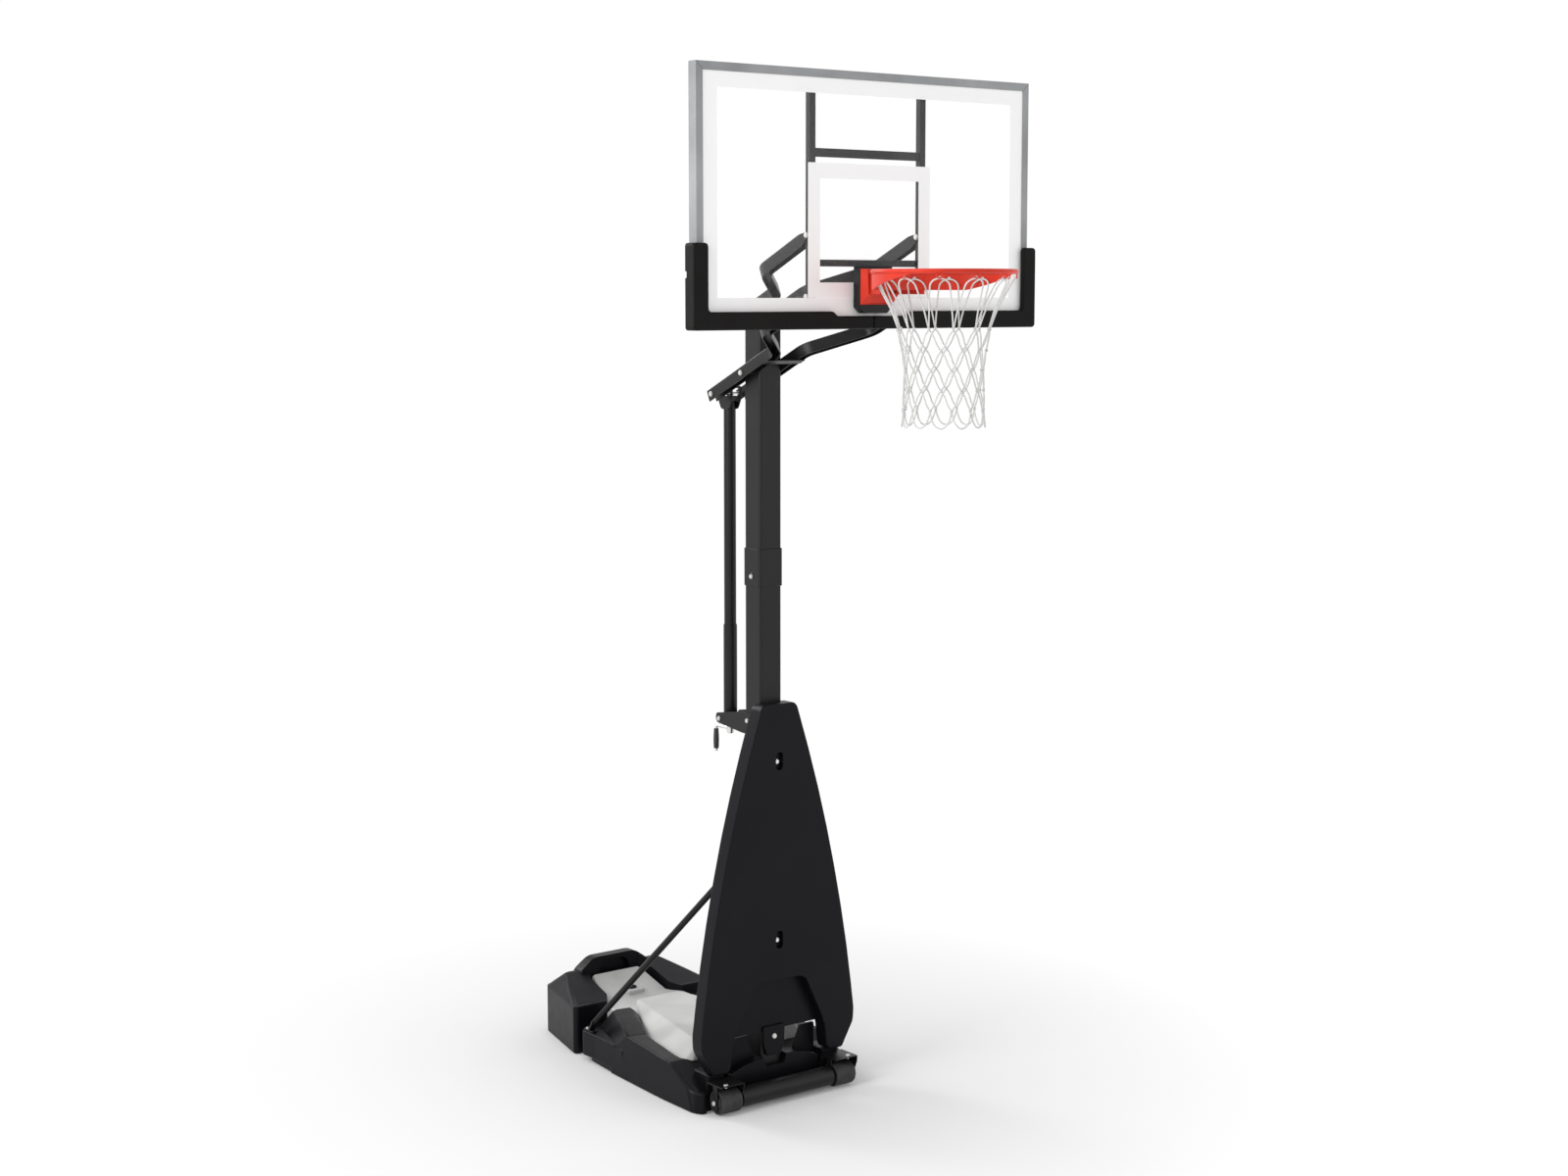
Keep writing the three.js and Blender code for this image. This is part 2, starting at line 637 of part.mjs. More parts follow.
function crossPlate() {
  const plate = new THREE.BoxGeometry(2 * ARM_IN_X + ARM_WIDTH, 31, 3);
  plate.translate(0, -152.5, -ARM_HEIGHT / 2 - 2);
  return plate.rotateX(-ARM_SLOPE).translate(0, PIVOT_Y, LOWER_PIVOT_Z);
}

for (const [label, side] of [['left', -1], ['right', 1]]) {
  const lowerHoles = [-REAR_LEVER, 0, ARM_LENGTH];
  add(`lower_arm_${label}`, 'black_metal', arm(side, REAR_LEVER + 22, lowerHoles, LOWER_PIVOT_Z));
  add(`upper_arm_${label}`, 'black_metal', arm(side, 24, [0, ARM_LENGTH], UPPER_PIVOT_Z));
}
add('cross_plate', 'black_metal', crossPlate());
const armOut = ARM_IN_X + ARM_WIDTH / 2 + GAP;
add('rear_bolt', 'zinc', boltX(-armOut, armOut, REAR_PIN_Y, REAR_PIN_Z, PIN_RADIUS, 10));
add('pole_bolt_lower', 'zinc', boltX(-armOut, armOut, PIVOT_Y, LOWER_PIVOT_Z, PIN_RADIUS, 10));
add('pole_bolt_upper', 'zinc', boltX(-armOut, armOut, PIVOT_Y, UPPER_PIVOT_Z, PIN_RADIUS, 10));

// Backboard
function rail(length) {
  const wall = 3;
  const flange = wall + SHEET_THICK + 1;
  const section = outline([
    [0, 0], [FRAME_FACE, 0], [FRAME_FACE, wall], [wall, wall], [wall, flange], [FRAME_FACE, flange],
    [FRAME_FACE, flange + wall], [wall, flange + wall], [wall, FRAME_DEPTH - wall], [15, FRAME_DEPTH - wall],
    [15, FRAME_DEPTH], [0, FRAME_DEPTH],
  ]);
  const bar = new THREE.ExtrudeGeometry(section, { depth: length, bevelEnabled: false, steps: 1 });
  const place = bar.getAttribute('position');
  for (let i = 0; i < place.count; i += 1) {
    const inset = place.getX(i) + GAP;
    place.setZ(i, place.getZ(i) < length / 2 ? inset : length - inset);
  }
  return bar;
}

function placedRail(length, inward, corner) {
  const back = new THREE.Vector3(0, 1, 0);
  const run = new THREE.Vector3().crossVectors(inward, back);
  return rail(length).applyMatrix4(new THREE.Matrix4().makeBasis(inward, back, run)).translate(...corner);
}

const BOARD_HEIGHT = BOARD_TOP - BOARD_BOTTOM;
const boardWidth = 2 * BOARD_HALF;
const inwardOf = { top: [0, 0, -1], bottom: [0, 0, 1], left: [1, 0, 0], right: [-1, 0, 0] };
const cornerOf = {
  top: [-BOARD_HALF, BOARD_FRONT, BOARD_TOP],
  bottom: [BOARD_HALF, BOARD_FRONT, BOARD_BOTTOM],
  left: [-BOARD_HALF, BOARD_FRONT, BOARD_BOTTOM],
  right: [BOARD_HALF, BOARD_FRONT, BOARD_TOP],
};
for (const edge of ['top', 'bottom', 'left', 'right']) {
  const length = edge === 'top' || edge === 'bottom' ? boardWidth : BOARD_HEIGHT;
  const inward = new THREE.Vector3(...inwardOf[edge]);
  add(`frame_${edge}`, 'grey_metal', placedRail(length, inward, cornerOf[edge]));
}

const sheetReach = BOARD_HALF - FRAME_FACE + 9;
const sheetFront = BOARD_FRONT + 3.5;
add('backboard_sheet', 'clear_sheet', box(
  -sheetReach, sheetReach, sheetFront, sheetFront + SHEET_THICK,
  BOARD_BOTTOM + FRAME_FACE - 9, BOARD_TOP - FRAME_FACE + 9,
));

const uprightY = BOARD_PIVOT_Y;
const lowerBoardPin = LOWER_PIVOT_Z + BOARD_PIVOT_RISE;
const upperBoardPin = UPPER_PIVOT_Z + BOARD_PIVOT_RISE;
const uprightHalf = UPRIGHT_SIZE / 2;

function upright(side) {
  const ring = squareRing(UPRIGHT_SIZE, 2, 2.5);
  const low = BOARD_BOTTOM + FRAME_FACE + GAP;
  const high = BOARD_TOP - FRAME_FACE - GAP;
  const tube = alongZ(ring, low, high).translate(side * UPRIGHT_X, uprightY, 0);
  const pin = (z) => rodX(PIN_HOLE, side * UPRIGHT_X - 30, side * UPRIGHT_X + 30, uprightY, z, 16);
  return cut(tube, [pin(lowerBoardPin), pin(upperBoardPin)]);
}

for (const [label, side] of [['left', -1], ['right', 1]]) {
  add(`upright_${label}`, 'black_metal', upright(side));
  const inner = side * UPRIGHT_X - ARM_WIDTH / 2 - GAP;
  const outer = side * UPRIGHT_X + ARM_WIDTH / 2 + GAP;
  add(`board_bolt_lower_${label}`, 'zinc', boltX(inner, outer, uprightY, lowerBoardPin, PIN_RADIUS, 10));
  add(`board_bolt_upper_${label}`, 'zinc', boltX(inner, outer, uprightY, upperBoardPin, PIN_RADIUS, 10));
}
const barReach = UPRIGHT_X - uprightHalf - GAP;
for (const [label, low, high] of [['upper', 3422, 3451], ['lower', 3059, 3082]]) {
  add(`crossbar_${label}`, 'black_metal', box(-barReach, barReach, uprightY - 9, uprightY + 9, low, high));
}

// Board pad, two moulded halves that meet in the middle
function padHalf(side) {
  const inner = 690;
  const faceTop = 2909;
  const face = outline([
    [0.4, PAD_BOTTOM], [PAD_HALF, PAD_BOTTOM], [PAD_HALF, PAD_TOP], [inner, PAD_TOP], [inner, faceTop],
    [172, faceTop], [156, faceTop - 16], [0.4, faceTop - 16],
  ].map(([x, z]) => [side * x, z]), 11);
  const wrap = outline([
    [0.4, PAD_BOTTOM], [PAD_HALF, PAD_BOTTOM], [PAD_HALF, PAD_TOP], [BOARD_HALF + GAP, PAD_TOP],
    [BOARD_HALF + GAP, BOARD_BOTTOM - GAP], [0.4, BOARD_BOTTOM - GAP],
  ].map(([x, z]) => [side * x, z]), 11);
  const solid = join([
    alongY(face, PAD_FRONT, BOARD_FRONT - GAP, 5, 2),
    alongY(wrap, BOARD_FRONT - 14, PAD_BACK, 4, 2),
  ]);
  return cut(solid, [
    box(side * 738 - 15, side * 738 + 15, -592, -570, 3018, 3040).translate(side * 20, 0, 0),
    box(-RIM_MOUNT_HALF - 6, RIM_MOUNT_HALF + 6, PAD_FRONT - 5, BOARD_FRONT, 2899, 2940),
    box(-BOARD_HALF - GAP, BOARD_HALF + GAP, BOARD_FRONT - GAP, -560, BOARD_BOTTOM - GAP, BOARD_TOP),
  ]);
}
add('board_pad_left', 'black_plastic', padHalf(-1));
add('board_pad_right', 'black_plastic', padHalf(1));

// Rim
function rimBox() {
  const shape = outline([
    [-RIM_MOUNT_HALF, 2922], [-52, 2902], [52, 2902], [RIM_MOUNT_HALF, 2922], [RIM_MOUNT_HALF, 3062],
    [-RIM_MOUNT_HALF, 3062],
  ], 4);
  return alongY(shape, -641, BOARD_FRONT + 2.6, 3, 2);
}

function rimCover() {
  const corners = [
    [-70, -642, 2931], [70, -642, 2931], [70, -642, 3052], [-70, -642, 3052],
    [-66, -676, 3050], [66, -676, 3050], [-66, -682, 2966], [66, -682, 2966],
    [-30, -668, 2938], [30, -668, 2938],
  ].map((corner) => new THREE.Vector3(...corner));
  const facets = new ConvexGeometry(corners);
  return cut(facets, [-1, 1].map((side) => rodY(4, -700, -670, side * 50, 2974, 14)));
}

const BRACE_LOW = 2980;
const BRACE_WALL = 4;

function braceBand() {
  const outer = RIM_RADIUS + BRACE_WALL / 2;
  const inner = RIM_RADIUS - BRACE_WALL / 2;
  const ring = new THREE.Shape().absarc(0, 0, outer, -0.12 * Math.PI, 1.12 * Math.PI, false);
  ring.absarc(0, 0, inner, 1.12 * Math.PI, -0.12 * Math.PI, true);
  ring.closePath();
  const depth = RIM_TOP - 10 - BRACE_LOW;
  const arc = new THREE.ExtrudeGeometry(ring, { depth, bevelEnabled: false, curveSegments: 24 });
  arc.translate(0, RIM_CENTRE_Y, BRACE_LOW);
  const low = BRACE_LOW - 5;
  const scoop = outline([
    [RIM_CENTRE_Y + 20, low], [RIM_CENTRE_Y - 120, low], [RIM_CENTRE_Y - 120, RIM_TOP - 8],
  ]);
  return cut(arc, [alongX(scoop, -300, 300)]);
}

function rimRing() {
  const bar = new THREE.TorusGeometry(RIM_RADIUS, RIM_BAR, 8, 48);
  bar.translate(0, RIM_CENTRE_Y, RIM_TOP - RIM_BAR);
  const back = -684.5;
  const plate = outline([
    [-62, back], [62, back], [110, -786], [74, -770], [0, -757], [-74, -770], [-110, -786],
  ]);
  const wing = (side) => alongZ(outline([
    [side * 56, back], [side * 60, back], [side * 98, -780], [side * 94, -780],
  ]), 2966, 3040);
  const hooks = Array.from({ length: 12 }, (_, i) => {
    const turn = ((i + 0.5) * Math.PI) / 6;
    const x = RIM_RADIUS * Math.cos(turn);
    const y = RIM_CENTRE_Y + RIM_RADIUS * Math.sin(turn);
    return rodZ(2.2, RIM_TOP - 34, RIM_TOP - 12, x, y, 8);
  });
  return join([
    bar,
    braceBand(),
    alongZ(plate, 3034, 3040),
    wing(-1),
    wing(1),
    ...hooks,
  ]);
}

function net() {
  const outer = NET_PROFILE.map(([r, drop]) => new THREE.Vector2(r, -drop));
  const inner = NET_PROFILE.map(([r, drop]) => new THREE.Vector2(r - 3, -drop)).reverse();
  const profile = outer.concat(inner, [outer[0].clone()]).reverse();
  const sleeve = new THREE.LatheGeometry(profile, 24).rotateX(Math.PI / 2);
  return sleeve.translate(0, RIM_CENTRE_Y, RIM_TOP - 36);
}

add('rim_box', 'black_metal', rimBox());
add('rim_cover', 'red_metal', rimCover());
add('rim_ring', 'red_metal', rimRing());
add('net', 'net_cord', net());

export default hoop;
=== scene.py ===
"""Portable basketball hoop: every visible piece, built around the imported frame."""

import math
import random

import bmesh
import bpy
from mathutils import Matrix, Vector


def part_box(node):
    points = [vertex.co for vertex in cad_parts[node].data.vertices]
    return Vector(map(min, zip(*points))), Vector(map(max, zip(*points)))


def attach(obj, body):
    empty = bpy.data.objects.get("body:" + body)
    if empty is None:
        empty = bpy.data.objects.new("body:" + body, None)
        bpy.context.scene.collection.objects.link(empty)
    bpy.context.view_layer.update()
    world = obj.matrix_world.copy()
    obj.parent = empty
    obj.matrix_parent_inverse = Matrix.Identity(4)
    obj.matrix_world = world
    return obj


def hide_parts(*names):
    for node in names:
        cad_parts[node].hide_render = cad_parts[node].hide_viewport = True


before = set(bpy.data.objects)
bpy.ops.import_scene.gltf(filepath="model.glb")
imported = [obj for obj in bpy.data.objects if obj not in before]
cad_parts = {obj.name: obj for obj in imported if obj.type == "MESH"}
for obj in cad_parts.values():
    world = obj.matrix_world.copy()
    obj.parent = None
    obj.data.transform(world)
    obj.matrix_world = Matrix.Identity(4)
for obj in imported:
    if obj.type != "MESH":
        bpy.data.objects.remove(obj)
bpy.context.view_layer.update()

bl_info = {
    "name": "Portable Basketball Hoop",
    "version": (1, 0, 0),
    "blender": (4, 5, 0),
    "location": "View3D > Sidebar > Hoop",
    "description": "Builds a ballasted, height-adjustable basketball hoop piece by piece",
    "category": "Object",
}

AXES = "XYZ"


# ---------------------------------------------------------------- sizes and colours


def middle(node):
    """The centre of the box round a CAD node."""
    low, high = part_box(node)
    return (low + high) / 2


RING_LOW, RING_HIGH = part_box("rim_ring")
RING_RADIUS_OUT = (RING_HIGH.x - RING_LOW.x) / 2
RING_BAR = 0.008
RING_RADIUS = RING_RADIUS_OUT - RING_BAR
RING_CENTRE = Vector((0, RING_LOW.y + RING_RADIUS_OUT, RING_HIGH.z - RING_BAR))
BOLT_HOLE = 0.0056
PIVOT_HOLE = 0.0064
STRUT_FOOT = (0.322, 0.712)
CAP_Y = 0.892
JACK_PIVOT_Z = 1.392
BOARD_HALF = 0.7254
BOARD_FOOT = 2.8646
BOARD_FACE = -0.6104
RIM_BACK = -0.6845


class HoopSizes(bpy.types.PropertyGroup):
    """Sizes that a user of the hoop would change."""

    edge_round: bpy.props.FloatProperty(
        name="Moulded edge", description="Rounding of the moulded plastic's edges",
        default=0.006, min=0.001, max=0.012, unit="LENGTH",
    )
    metal_edge: bpy.props.FloatProperty(
        name="Metal edge", description="Rounding of the folded metal's edges",
        default=0.0012, min=0.0002, max=0.004, unit="LENGTH",
    )
    net_loops: bpy.props.IntProperty(
        name="Net loops", description="How many loops hang from the ring",
        default=12, min=8, max=16,
    )
    cord_radius: bpy.props.FloatProperty(
        name="Cord radius", description="Radius of the net's braided cord",
        default=0.0027, min=0.001, max=0.005, unit="LENGTH",
    )
    border_width: bpy.props.FloatProperty(
        name="Border", description="Width of the white border that shows inside the frame",
        default=0.057, min=0.02, max=0.1, unit="LENGTH",
    )
    square_line: bpy.props.FloatProperty(
        name="Target line", description="Width of the line of the target square",
        default=0.051, min=0.02, max=0.08, unit="LENGTH",
    )


def colour_property(label, words, default):
    return bpy.props.FloatVectorProperty(
        name=label, description=words, default=default, subtype="COLOR", size=3, min=0, max=1,
    )


class HoopColours(bpy.types.PropertyGroup):
    """Colours that a user of the hoop would change."""

    moulding: colour_property("Moulding", "Black moulded plastic", (0.0042, 0.0042, 0.0058))
    pad: colour_property("Pad", "Foam pad under the board", (0.0038, 0.0034, 0.0032))
    tank: colour_property("Tank", "Light grey ballast tank", (0.43, 0.43, 0.425))
    coat: colour_property("Powder coat", "Black coat on the steel", (0.0052, 0.0052, 0.0055))
    rail: colour_property("Rail", "Grey coat on the board's frame", (0.255, 0.262, 0.268))
    rim: colour_property("Rim", "Red coat on the rim", (0.565, 0.034, 0.017))
    print_white: colour_property("Print", "White print on the board", (0.93, 0.93, 0.93))
    cord: colour_property("Cord", "Net cord", (0.76, 0.76, 0.745))


# ---------------------------------------------------------------- shader maths


class Value:
    """A shader socket that adds Math nodes as it is used in an expression."""

    def __init__(self, finish, socket):
        self.finish = finish
        self.socket = socket

    def maths(self, operation, *values):
        node = self.finish.node("ShaderNodeMath", {"operation": operation}, dict(enumerate(values)))
        return Value(self.finish, node.outputs[0])

    def __add__(self, other):
        return self.maths("ADD", self, other)

    def __sub__(self, other):
        return self.maths("SUBTRACT", self, other)

    def __mul__(self, other):
        return self.maths("MULTIPLY", self, other)

    def __rsub__(self, other):
        return self.maths("SUBTRACT", other, self)

    __radd__ = __add__
    __rmul__ = __mul__


class Finish:
    """One procedural material and the nodes that it is made of."""

    def __init__(self, name, constants=None):
        self.material = bpy.data.materials.new(name)
        self.material.use_nodes = True
        self.tree = self.material.node_tree
        self.shader = self.tree.nodes["Principled BSDF"]
        for socket, value in (constants or {}).items():
            self.shader.inputs[socket].default_value = value
        coordinates = self.node("ShaderNodeTexCoord")
        self.place = coordinates.outputs["Object"]
        self.along = coordinates.outputs["UV"]

    def node(self, kind, settings=None, sockets=None):
        node = self.tree.nodes.new(kind)
        for key, value in (settings or {}).items():
            setattr(node, key, value)
        for key, value in (sockets or {}).items():
            self.feed(node.inputs[key], value)
        return node

    def feed(self, socket, value):
        if isinstance(value, Value):
            value = value.socket
        if isinstance(value, bpy.types.NodeSocket):
            self.tree.links.new(value, socket)
        elif socket.type == "RGBA" and len(value) == 3:
            socket.default_value = (*value, 1)
        else:
            socket.default_value = value

    def stretched(self, scale):
        mapping = self.node("ShaderNodeMapping", None, {"Vector": self.place, "Scale": scale})
        return mapping.outputs[0]

    def noise(self, scale, detail=4.0, roughness=0.55, place=None):
        sockets = {"Vector": place or self.place, "Scale": scale, "Detail": detail, "Roughness": roughness}
        return Value(self, self.node("ShaderNodeTexNoise", None, sockets).outputs[0])

    def cells(self, scale):
        sockets = {"Vector": self.place, "Scale": scale}
        return Value(self, self.node("ShaderNodeTexVoronoi", None, sockets).outputs[0])

    def between(self, value, low, high, out_low=0.0, out_high=1.0):
        sockets = {"Value": value, "From Min": low, "From Max": high, "To Min": out_low, "To Max": out_high}
        return Value(self, self.node("ShaderNodeMapRange", None, sockets).outputs[0])

    def mix(self, factor, first, second):
        node = self.node("ShaderNodeMix", {"data_type": "RGBA"})
        self.feed(node.inputs[0], factor)
        self.feed(node.inputs[6], first)
        self.feed(node.inputs[7], second)
        return node.outputs[2]

    def heights(self, height, strength, distance, under=None):
        sockets = {"Height": height, "Strength": strength, "Distance": distance}
        if under is not None:
            sockets["Normal"] = under
        return self.node("ShaderNodeBump", None, sockets).outputs[0]

    def scratches(self, threshold):
        """Fine rubbed lines that run in two directions."""
        down = self.noise(9.0, 5.0, 0.7, self.stretched((22.0, 22.0, 1.1)))
        across = self.noise(8.0, 5.0, 0.7, self.stretched((1.4, 1.4, 26.0)))
        lines = down.maths("MAXIMUM", down, across)
        return self.between(lines, threshold, threshold + 0.07)


def tinted(colour, factor):
    """A colour made darker or lighter by a factor."""
    return tuple(min(1.0, channel * factor) for channel in colour)


def moulded_plastic(name, colour, grain=620.0, rough=0.36, lift=1.0):
    """Blow-moulded plastic: fine leather grain, cloudy colour, scuffs and dust."""
    finish = Finish(name, {"Specular IOR Level": 0.115})
    cloud = finish.noise(2.6, 3.0)
    patch = finish.noise(17.0, 5.0)
    scuff = finish.scratches(0.68)
    base = finish.mix(finish.between(cloud, 0.3, 0.7), tinted(colour, 0.82), tinted(colour, 1.28))
    worn = finish.mix(scuff * 0.35 * lift, base, tinted(colour, 3.2 if colour[0] < 0.1 else 0.8))
    finish.feed(finish.shader.inputs["Base Color"], worn)
    finish.feed(finish.shader.inputs["Roughness"], rough + (patch - 0.5) * 0.22 + scuff * 0.12)
    leather = finish.cells(grain) * 0.6 + finish.noise(grain * 1.7, 2.0) * 0.4
    waves = finish.noise(7.0, 2.0)
    skin = finish.heights(leather, 0.28, 0.0004)
    finish.feed(finish.shader.inputs["Normal"], finish.heights(waves, 0.12, 0.004, skin))
    return finish.material


def powder_coat(name, colour, rough=0.36, metal=0.0, gloss=0.27):
    """Baked powder coat: orange peel, small rubs and a faint change of gloss."""
    finish = Finish(name, {"Specular IOR Level": gloss, "Metallic": metal})
    cloud = finish.noise(5.0, 4.0)
    rub = finish.scratches(0.7)
    base = finish.mix(finish.between(cloud, 0.3, 0.7), tinted(colour, 0.86), tinted(colour, 1.2))
    lighter = tinted(colour, 2.6) if colour[0] < 0.1 else tinted(colour, 1.25)
    finish.feed(finish.shader.inputs["Base Color"], finish.mix(rub * 0.3, base, lighter))
    finish.feed(finish.shader.inputs["Roughness"], rough + (cloud - 0.5) * 0.2 + rub * 0.14)
    peel = finish.noise(900.0, 2.0)
    finish.feed(finish.shader.inputs["Normal"], finish.heights(peel, 0.16, 0.0003))
    return finish.material


def zinc_plate():
    """Bright zinc plate with a mottled crystal and a trace of yellow."""
    finish = Finish("zinc_plate", {"Metallic": 1.0})
    crystal = finish.cells(420.0)
    cloud = finish.noise(160.0, 4.0)
    base = finish.mix(finish.between(cloud, 0.35, 0.7), (0.80, 0.80, 0.79), (0.62, 0.61, 0.57))
    finish.feed(finish.shader.inputs["Base Color"], base)
    finish.feed(finish.shader.inputs["Roughness"], 0.22 + crystal * 0.16 + (cloud - 0.5) * 0.2)
    finish.feed(finish.shader.inputs["Normal"], finish.heights(cloud, 0.12, 0.0003))
    return finish.material


def clear_sheet():
    """Clear acrylic, faintly hazed by fine swirl marks."""
    finish = Finish("clear_acrylic", {"Base Color": (0.96, 0.98, 0.985, 1), "IOR": 1.49})
    swirl = finish.scratches(0.7)
    haze = finish.noise(3.0, 4.0)
    finish.feed(finish.shader.inputs["Roughness"], 0.03 + swirl * 0.12)
    veil = finish.between(haze, 0.4, 0.8, 0.018, 0.03)
    finish.feed(finish.shader.inputs["Alpha"], veil + swirl * 0.03)
    return finish.material


def printed_white(colour):
    """Screen-printed white ink, almost opaque, with a fine screen texture."""
    finish = Finish("white_print", {"Specular IOR Level": 0.4})
    screen = finish.noise(700.0, 2.0)
    cloud = finish.noise(4.0, 3.0)
    finish.feed(finish.shader.inputs["Base Color"], finish.mix(cloud, colour, tinted(colour, 0.975)))
    finish.feed(finish.shader.inputs["Roughness"], 0.3 + (screen - 0.5) * 0.2)
    finish.feed(finish.shader.inputs["Alpha"], 0.93 + (screen - 0.5) * 0.06)
    finish.feed(finish.shader.inputs["Normal"], finish.heights(screen, 0.05, 0.0002))
    return finish.material


def braided_cord(colour):
    """Braided net cord: two crossing lays that show as a fine herringbone, with painted shade darkening the
    grooves between the lays.
    """
    finish = Finish("net_cord", {"Roughness": 0.85, "Sheen Weight": 0.3})
    parts = finish.node("ShaderNodeSeparateXYZ", None, {0: finish.along})
    length = Value(finish, parts.outputs[0])
    around = Value(finish, parts.outputs[1])
    strands = around * (3 * 2 * math.pi)
    lay = strands + length * 900.0
    counter = strands - length * 900.0
    braid = lay.maths("MAXIMUM", lay.maths("SINE", lay), counter.maths("SINE", counter))
    fibre = finish.noise(2400.0, 3.0)
    soil = finish.noise(22.0, 4.0)
    base = finish.mix(finish.between(soil, 0.45, 0.8), colour, tinted(colour, 0.82))
    # Painted shade: the grooves between the lays are darkened to under half the cord's colour, where the braid
    # would hold shade.
    deep = finish.mix(finish.between(braid, -0.1, 0.8), tinted(colour, 0.45), base)
    finish.feed(finish.shader.inputs["Base Color"], deep)
    finish.feed(finish.shader.inputs["Normal"], finish.heights(braid + fibre * 0.5, 0.6, 0.0006))
    return finish.material


def rubber(colour):
    """Matt rubber with fine pores."""
    finish = Finish("black_rubber", {"Specular IOR Level": 0.4})
    pores = finish.noise(1100.0, 3.0)
    cloud = finish.noise(30.0, 4.0)
    base = finish.mix(finish.between(cloud, 0.35, 0.75), colour, tinted(colour, 2.2))
    finish.feed(finish.shader.inputs["Base Color"], base)
    finish.feed(finish.shader.inputs["Roughness"], 0.58 + (cloud - 0.5) * 0.3)
    finish.feed(finish.shader.inputs["Normal"], finish.heights(pores, 0.25, 0.0004))
    return finish.material


MAKERS = {
    "black_plastic": lambda c: moulded_plastic("black_moulding", c.moulding),
    "board_pad": lambda c: moulded_plastic("pad_foam_skin", c.pad, 900.0, 0.5, 0.6),
    "grey_plastic": lambda c: moulded_plastic("grey_moulding", c.tank, 500.0, 0.5, 0.5),
    "black_metal": lambda c: powder_coat("black_coat", c.coat),
    "frame_metal": lambda c: powder_coat("grey_coat", c.rail, 0.4, 0.15),
    "red_metal": lambda c: powder_coat("red_coat", c.rim, 0.34, 0.0, 0.16),
    "zinc": lambda c: zinc_plate(),
    "clear_sheet": lambda c: clear_sheet(),
    "rubber": lambda c: rubber((0.016, 0.016, 0.0165)),
    "net_cord": lambda c: braided_cord(c.cord),
    "white_print": lambda c: printed_white(c.print_white),
}


def material_for(kind):
    """The material of a kind, made when it is first asked for."""
    key = f"hoop_{kind}"
    found = bpy.context.scene.get(key)
    if found is None:
        made = MAKERS[kind](bpy.context.scene.hoop_colours)
        bpy.context.scene[key] = made.name
        return made
    return bpy.data.materials[found]


# ---------------------------------------------------------------- mesh tools


def at(axis, u, v, w):
    """A point whose outline lies across an axis: u and v run along the two others."""
    return {"X": Vector((w, u, v)), "Y": Vector((u, w, v)), "Z": Vector((u, v, w))}[axis]


def curve(enter, corner, leave, steps):
    """Points of the bend between two lines that meet at a corner."""
    points = []
    for step in range(steps + 1):
        t = step / steps
        points.append(tuple(enter * (1 - t) ** 2 + corner * (2 * t * (1 - t)) + leave * t ** 2))
    return points


def rounded(points, radius, steps=5):
    """An outline with each corner turned into an arc-like curve."""
    result = []
    count = len(points)
    for i, point in enumerate(points):
        here = Vector(point)
        before = Vector(points[i - 1]) - here
        after = Vector(points[(i + 1) % count]) - here
        reach = min(radius, before.length / 2.05, after.length / 2.05)
        enter = here + before.normalized() * reach
        leave = here + after.normalized() * reach
        result += curve(enter, here, leave, steps)
    return result


def both_sides(half):
    """An outline from its right half, listed from one end of the centre line to the other."""
    other = [(-x, y) for x, y in reversed(half) if abs(x) > 1e-9]
    return half + other


def rectangle(left, right, bottom, top):
    return [(left, bottom), (right, bottom), (right, top), (left, top)]


def circle(radius, count, centre=(0.0, 0.0)):
    turn = 2 * math.pi / count
    return [
        (centre[0] + radius * math.cos(i * turn), centre[1] + radius * math.sin(i * turn))
        for i in range(count)
    ]


def prism(points, axis, low, high):
    """A closed outline pulled straight along an axis."""
    return loft([(points, low), (points, high)], axis)


def loft(rings, axis):
    """Outlines with the same number of points, skinned one to the next and closed at both ends."""
    shape = bmesh.new()
    rows = [[shape.verts.new(at(axis, u, v, level)) for u, v in points] for points, level in rings]
    return skinned(shape, rows)


def skinned(shape, rows):
    """Faces from each row of corners to the next, with a face across both ends."""
    count = len(rows[0])
    for lower, upper in zip(rows, rows[1:]):
        for i in range(count):
            j = (i + 1) % count
            shape.faces.new((lower[i], lower[j], upper[j], upper[i]))
    shape.faces.new(rows[0][::-1])
    shape.faces.new(rows[-1])
    bmesh.ops.recalc_face_normals(shape, faces=shape.faces)
    return shape


def lathe(profile, axis, centre, steps=48):
    """A closed profile of (radius, height) pairs turned about an axis through centre."""
    shape = bmesh.new()
    rows = []
    for i in range(steps):
        turn = 2 * math.pi * i / steps
        rows.append([
            shape.verts.new(at(axis, r * math.cos(turn), r * math.sin(turn), h) + Vector(centre))
            for r, h in profile
        ])
    for i in range(steps):
        here, there = rows[i], rows[(i + 1) % steps]
        for j in range(len(profile)):
            k = (j + 1) % len(profile)
            shape.faces.new((here[j], there[j], there[k], here[k]))
    bmesh.ops.remove_doubles(shape, verts=shape.verts, dist=1e-7)
    bmesh.ops.dissolve_degenerate(shape, edges=shape.edges, dist=1e-7)
    bmesh.ops.recalc_face_normals(shape, faces=shape.faces)
    return shape


def rod(radius, axis, centre, low, high, steps=40, edge=0.0008):
    """A round bar with eased ends, from low to high along an axis."""
    profile = [
        (0, low), (radius - edge, low), (radius, low + edge),
        (radius, high - edge), (radius - edge, high), (0, high),
    ]
    return lathe(profile, axis, centre, steps)


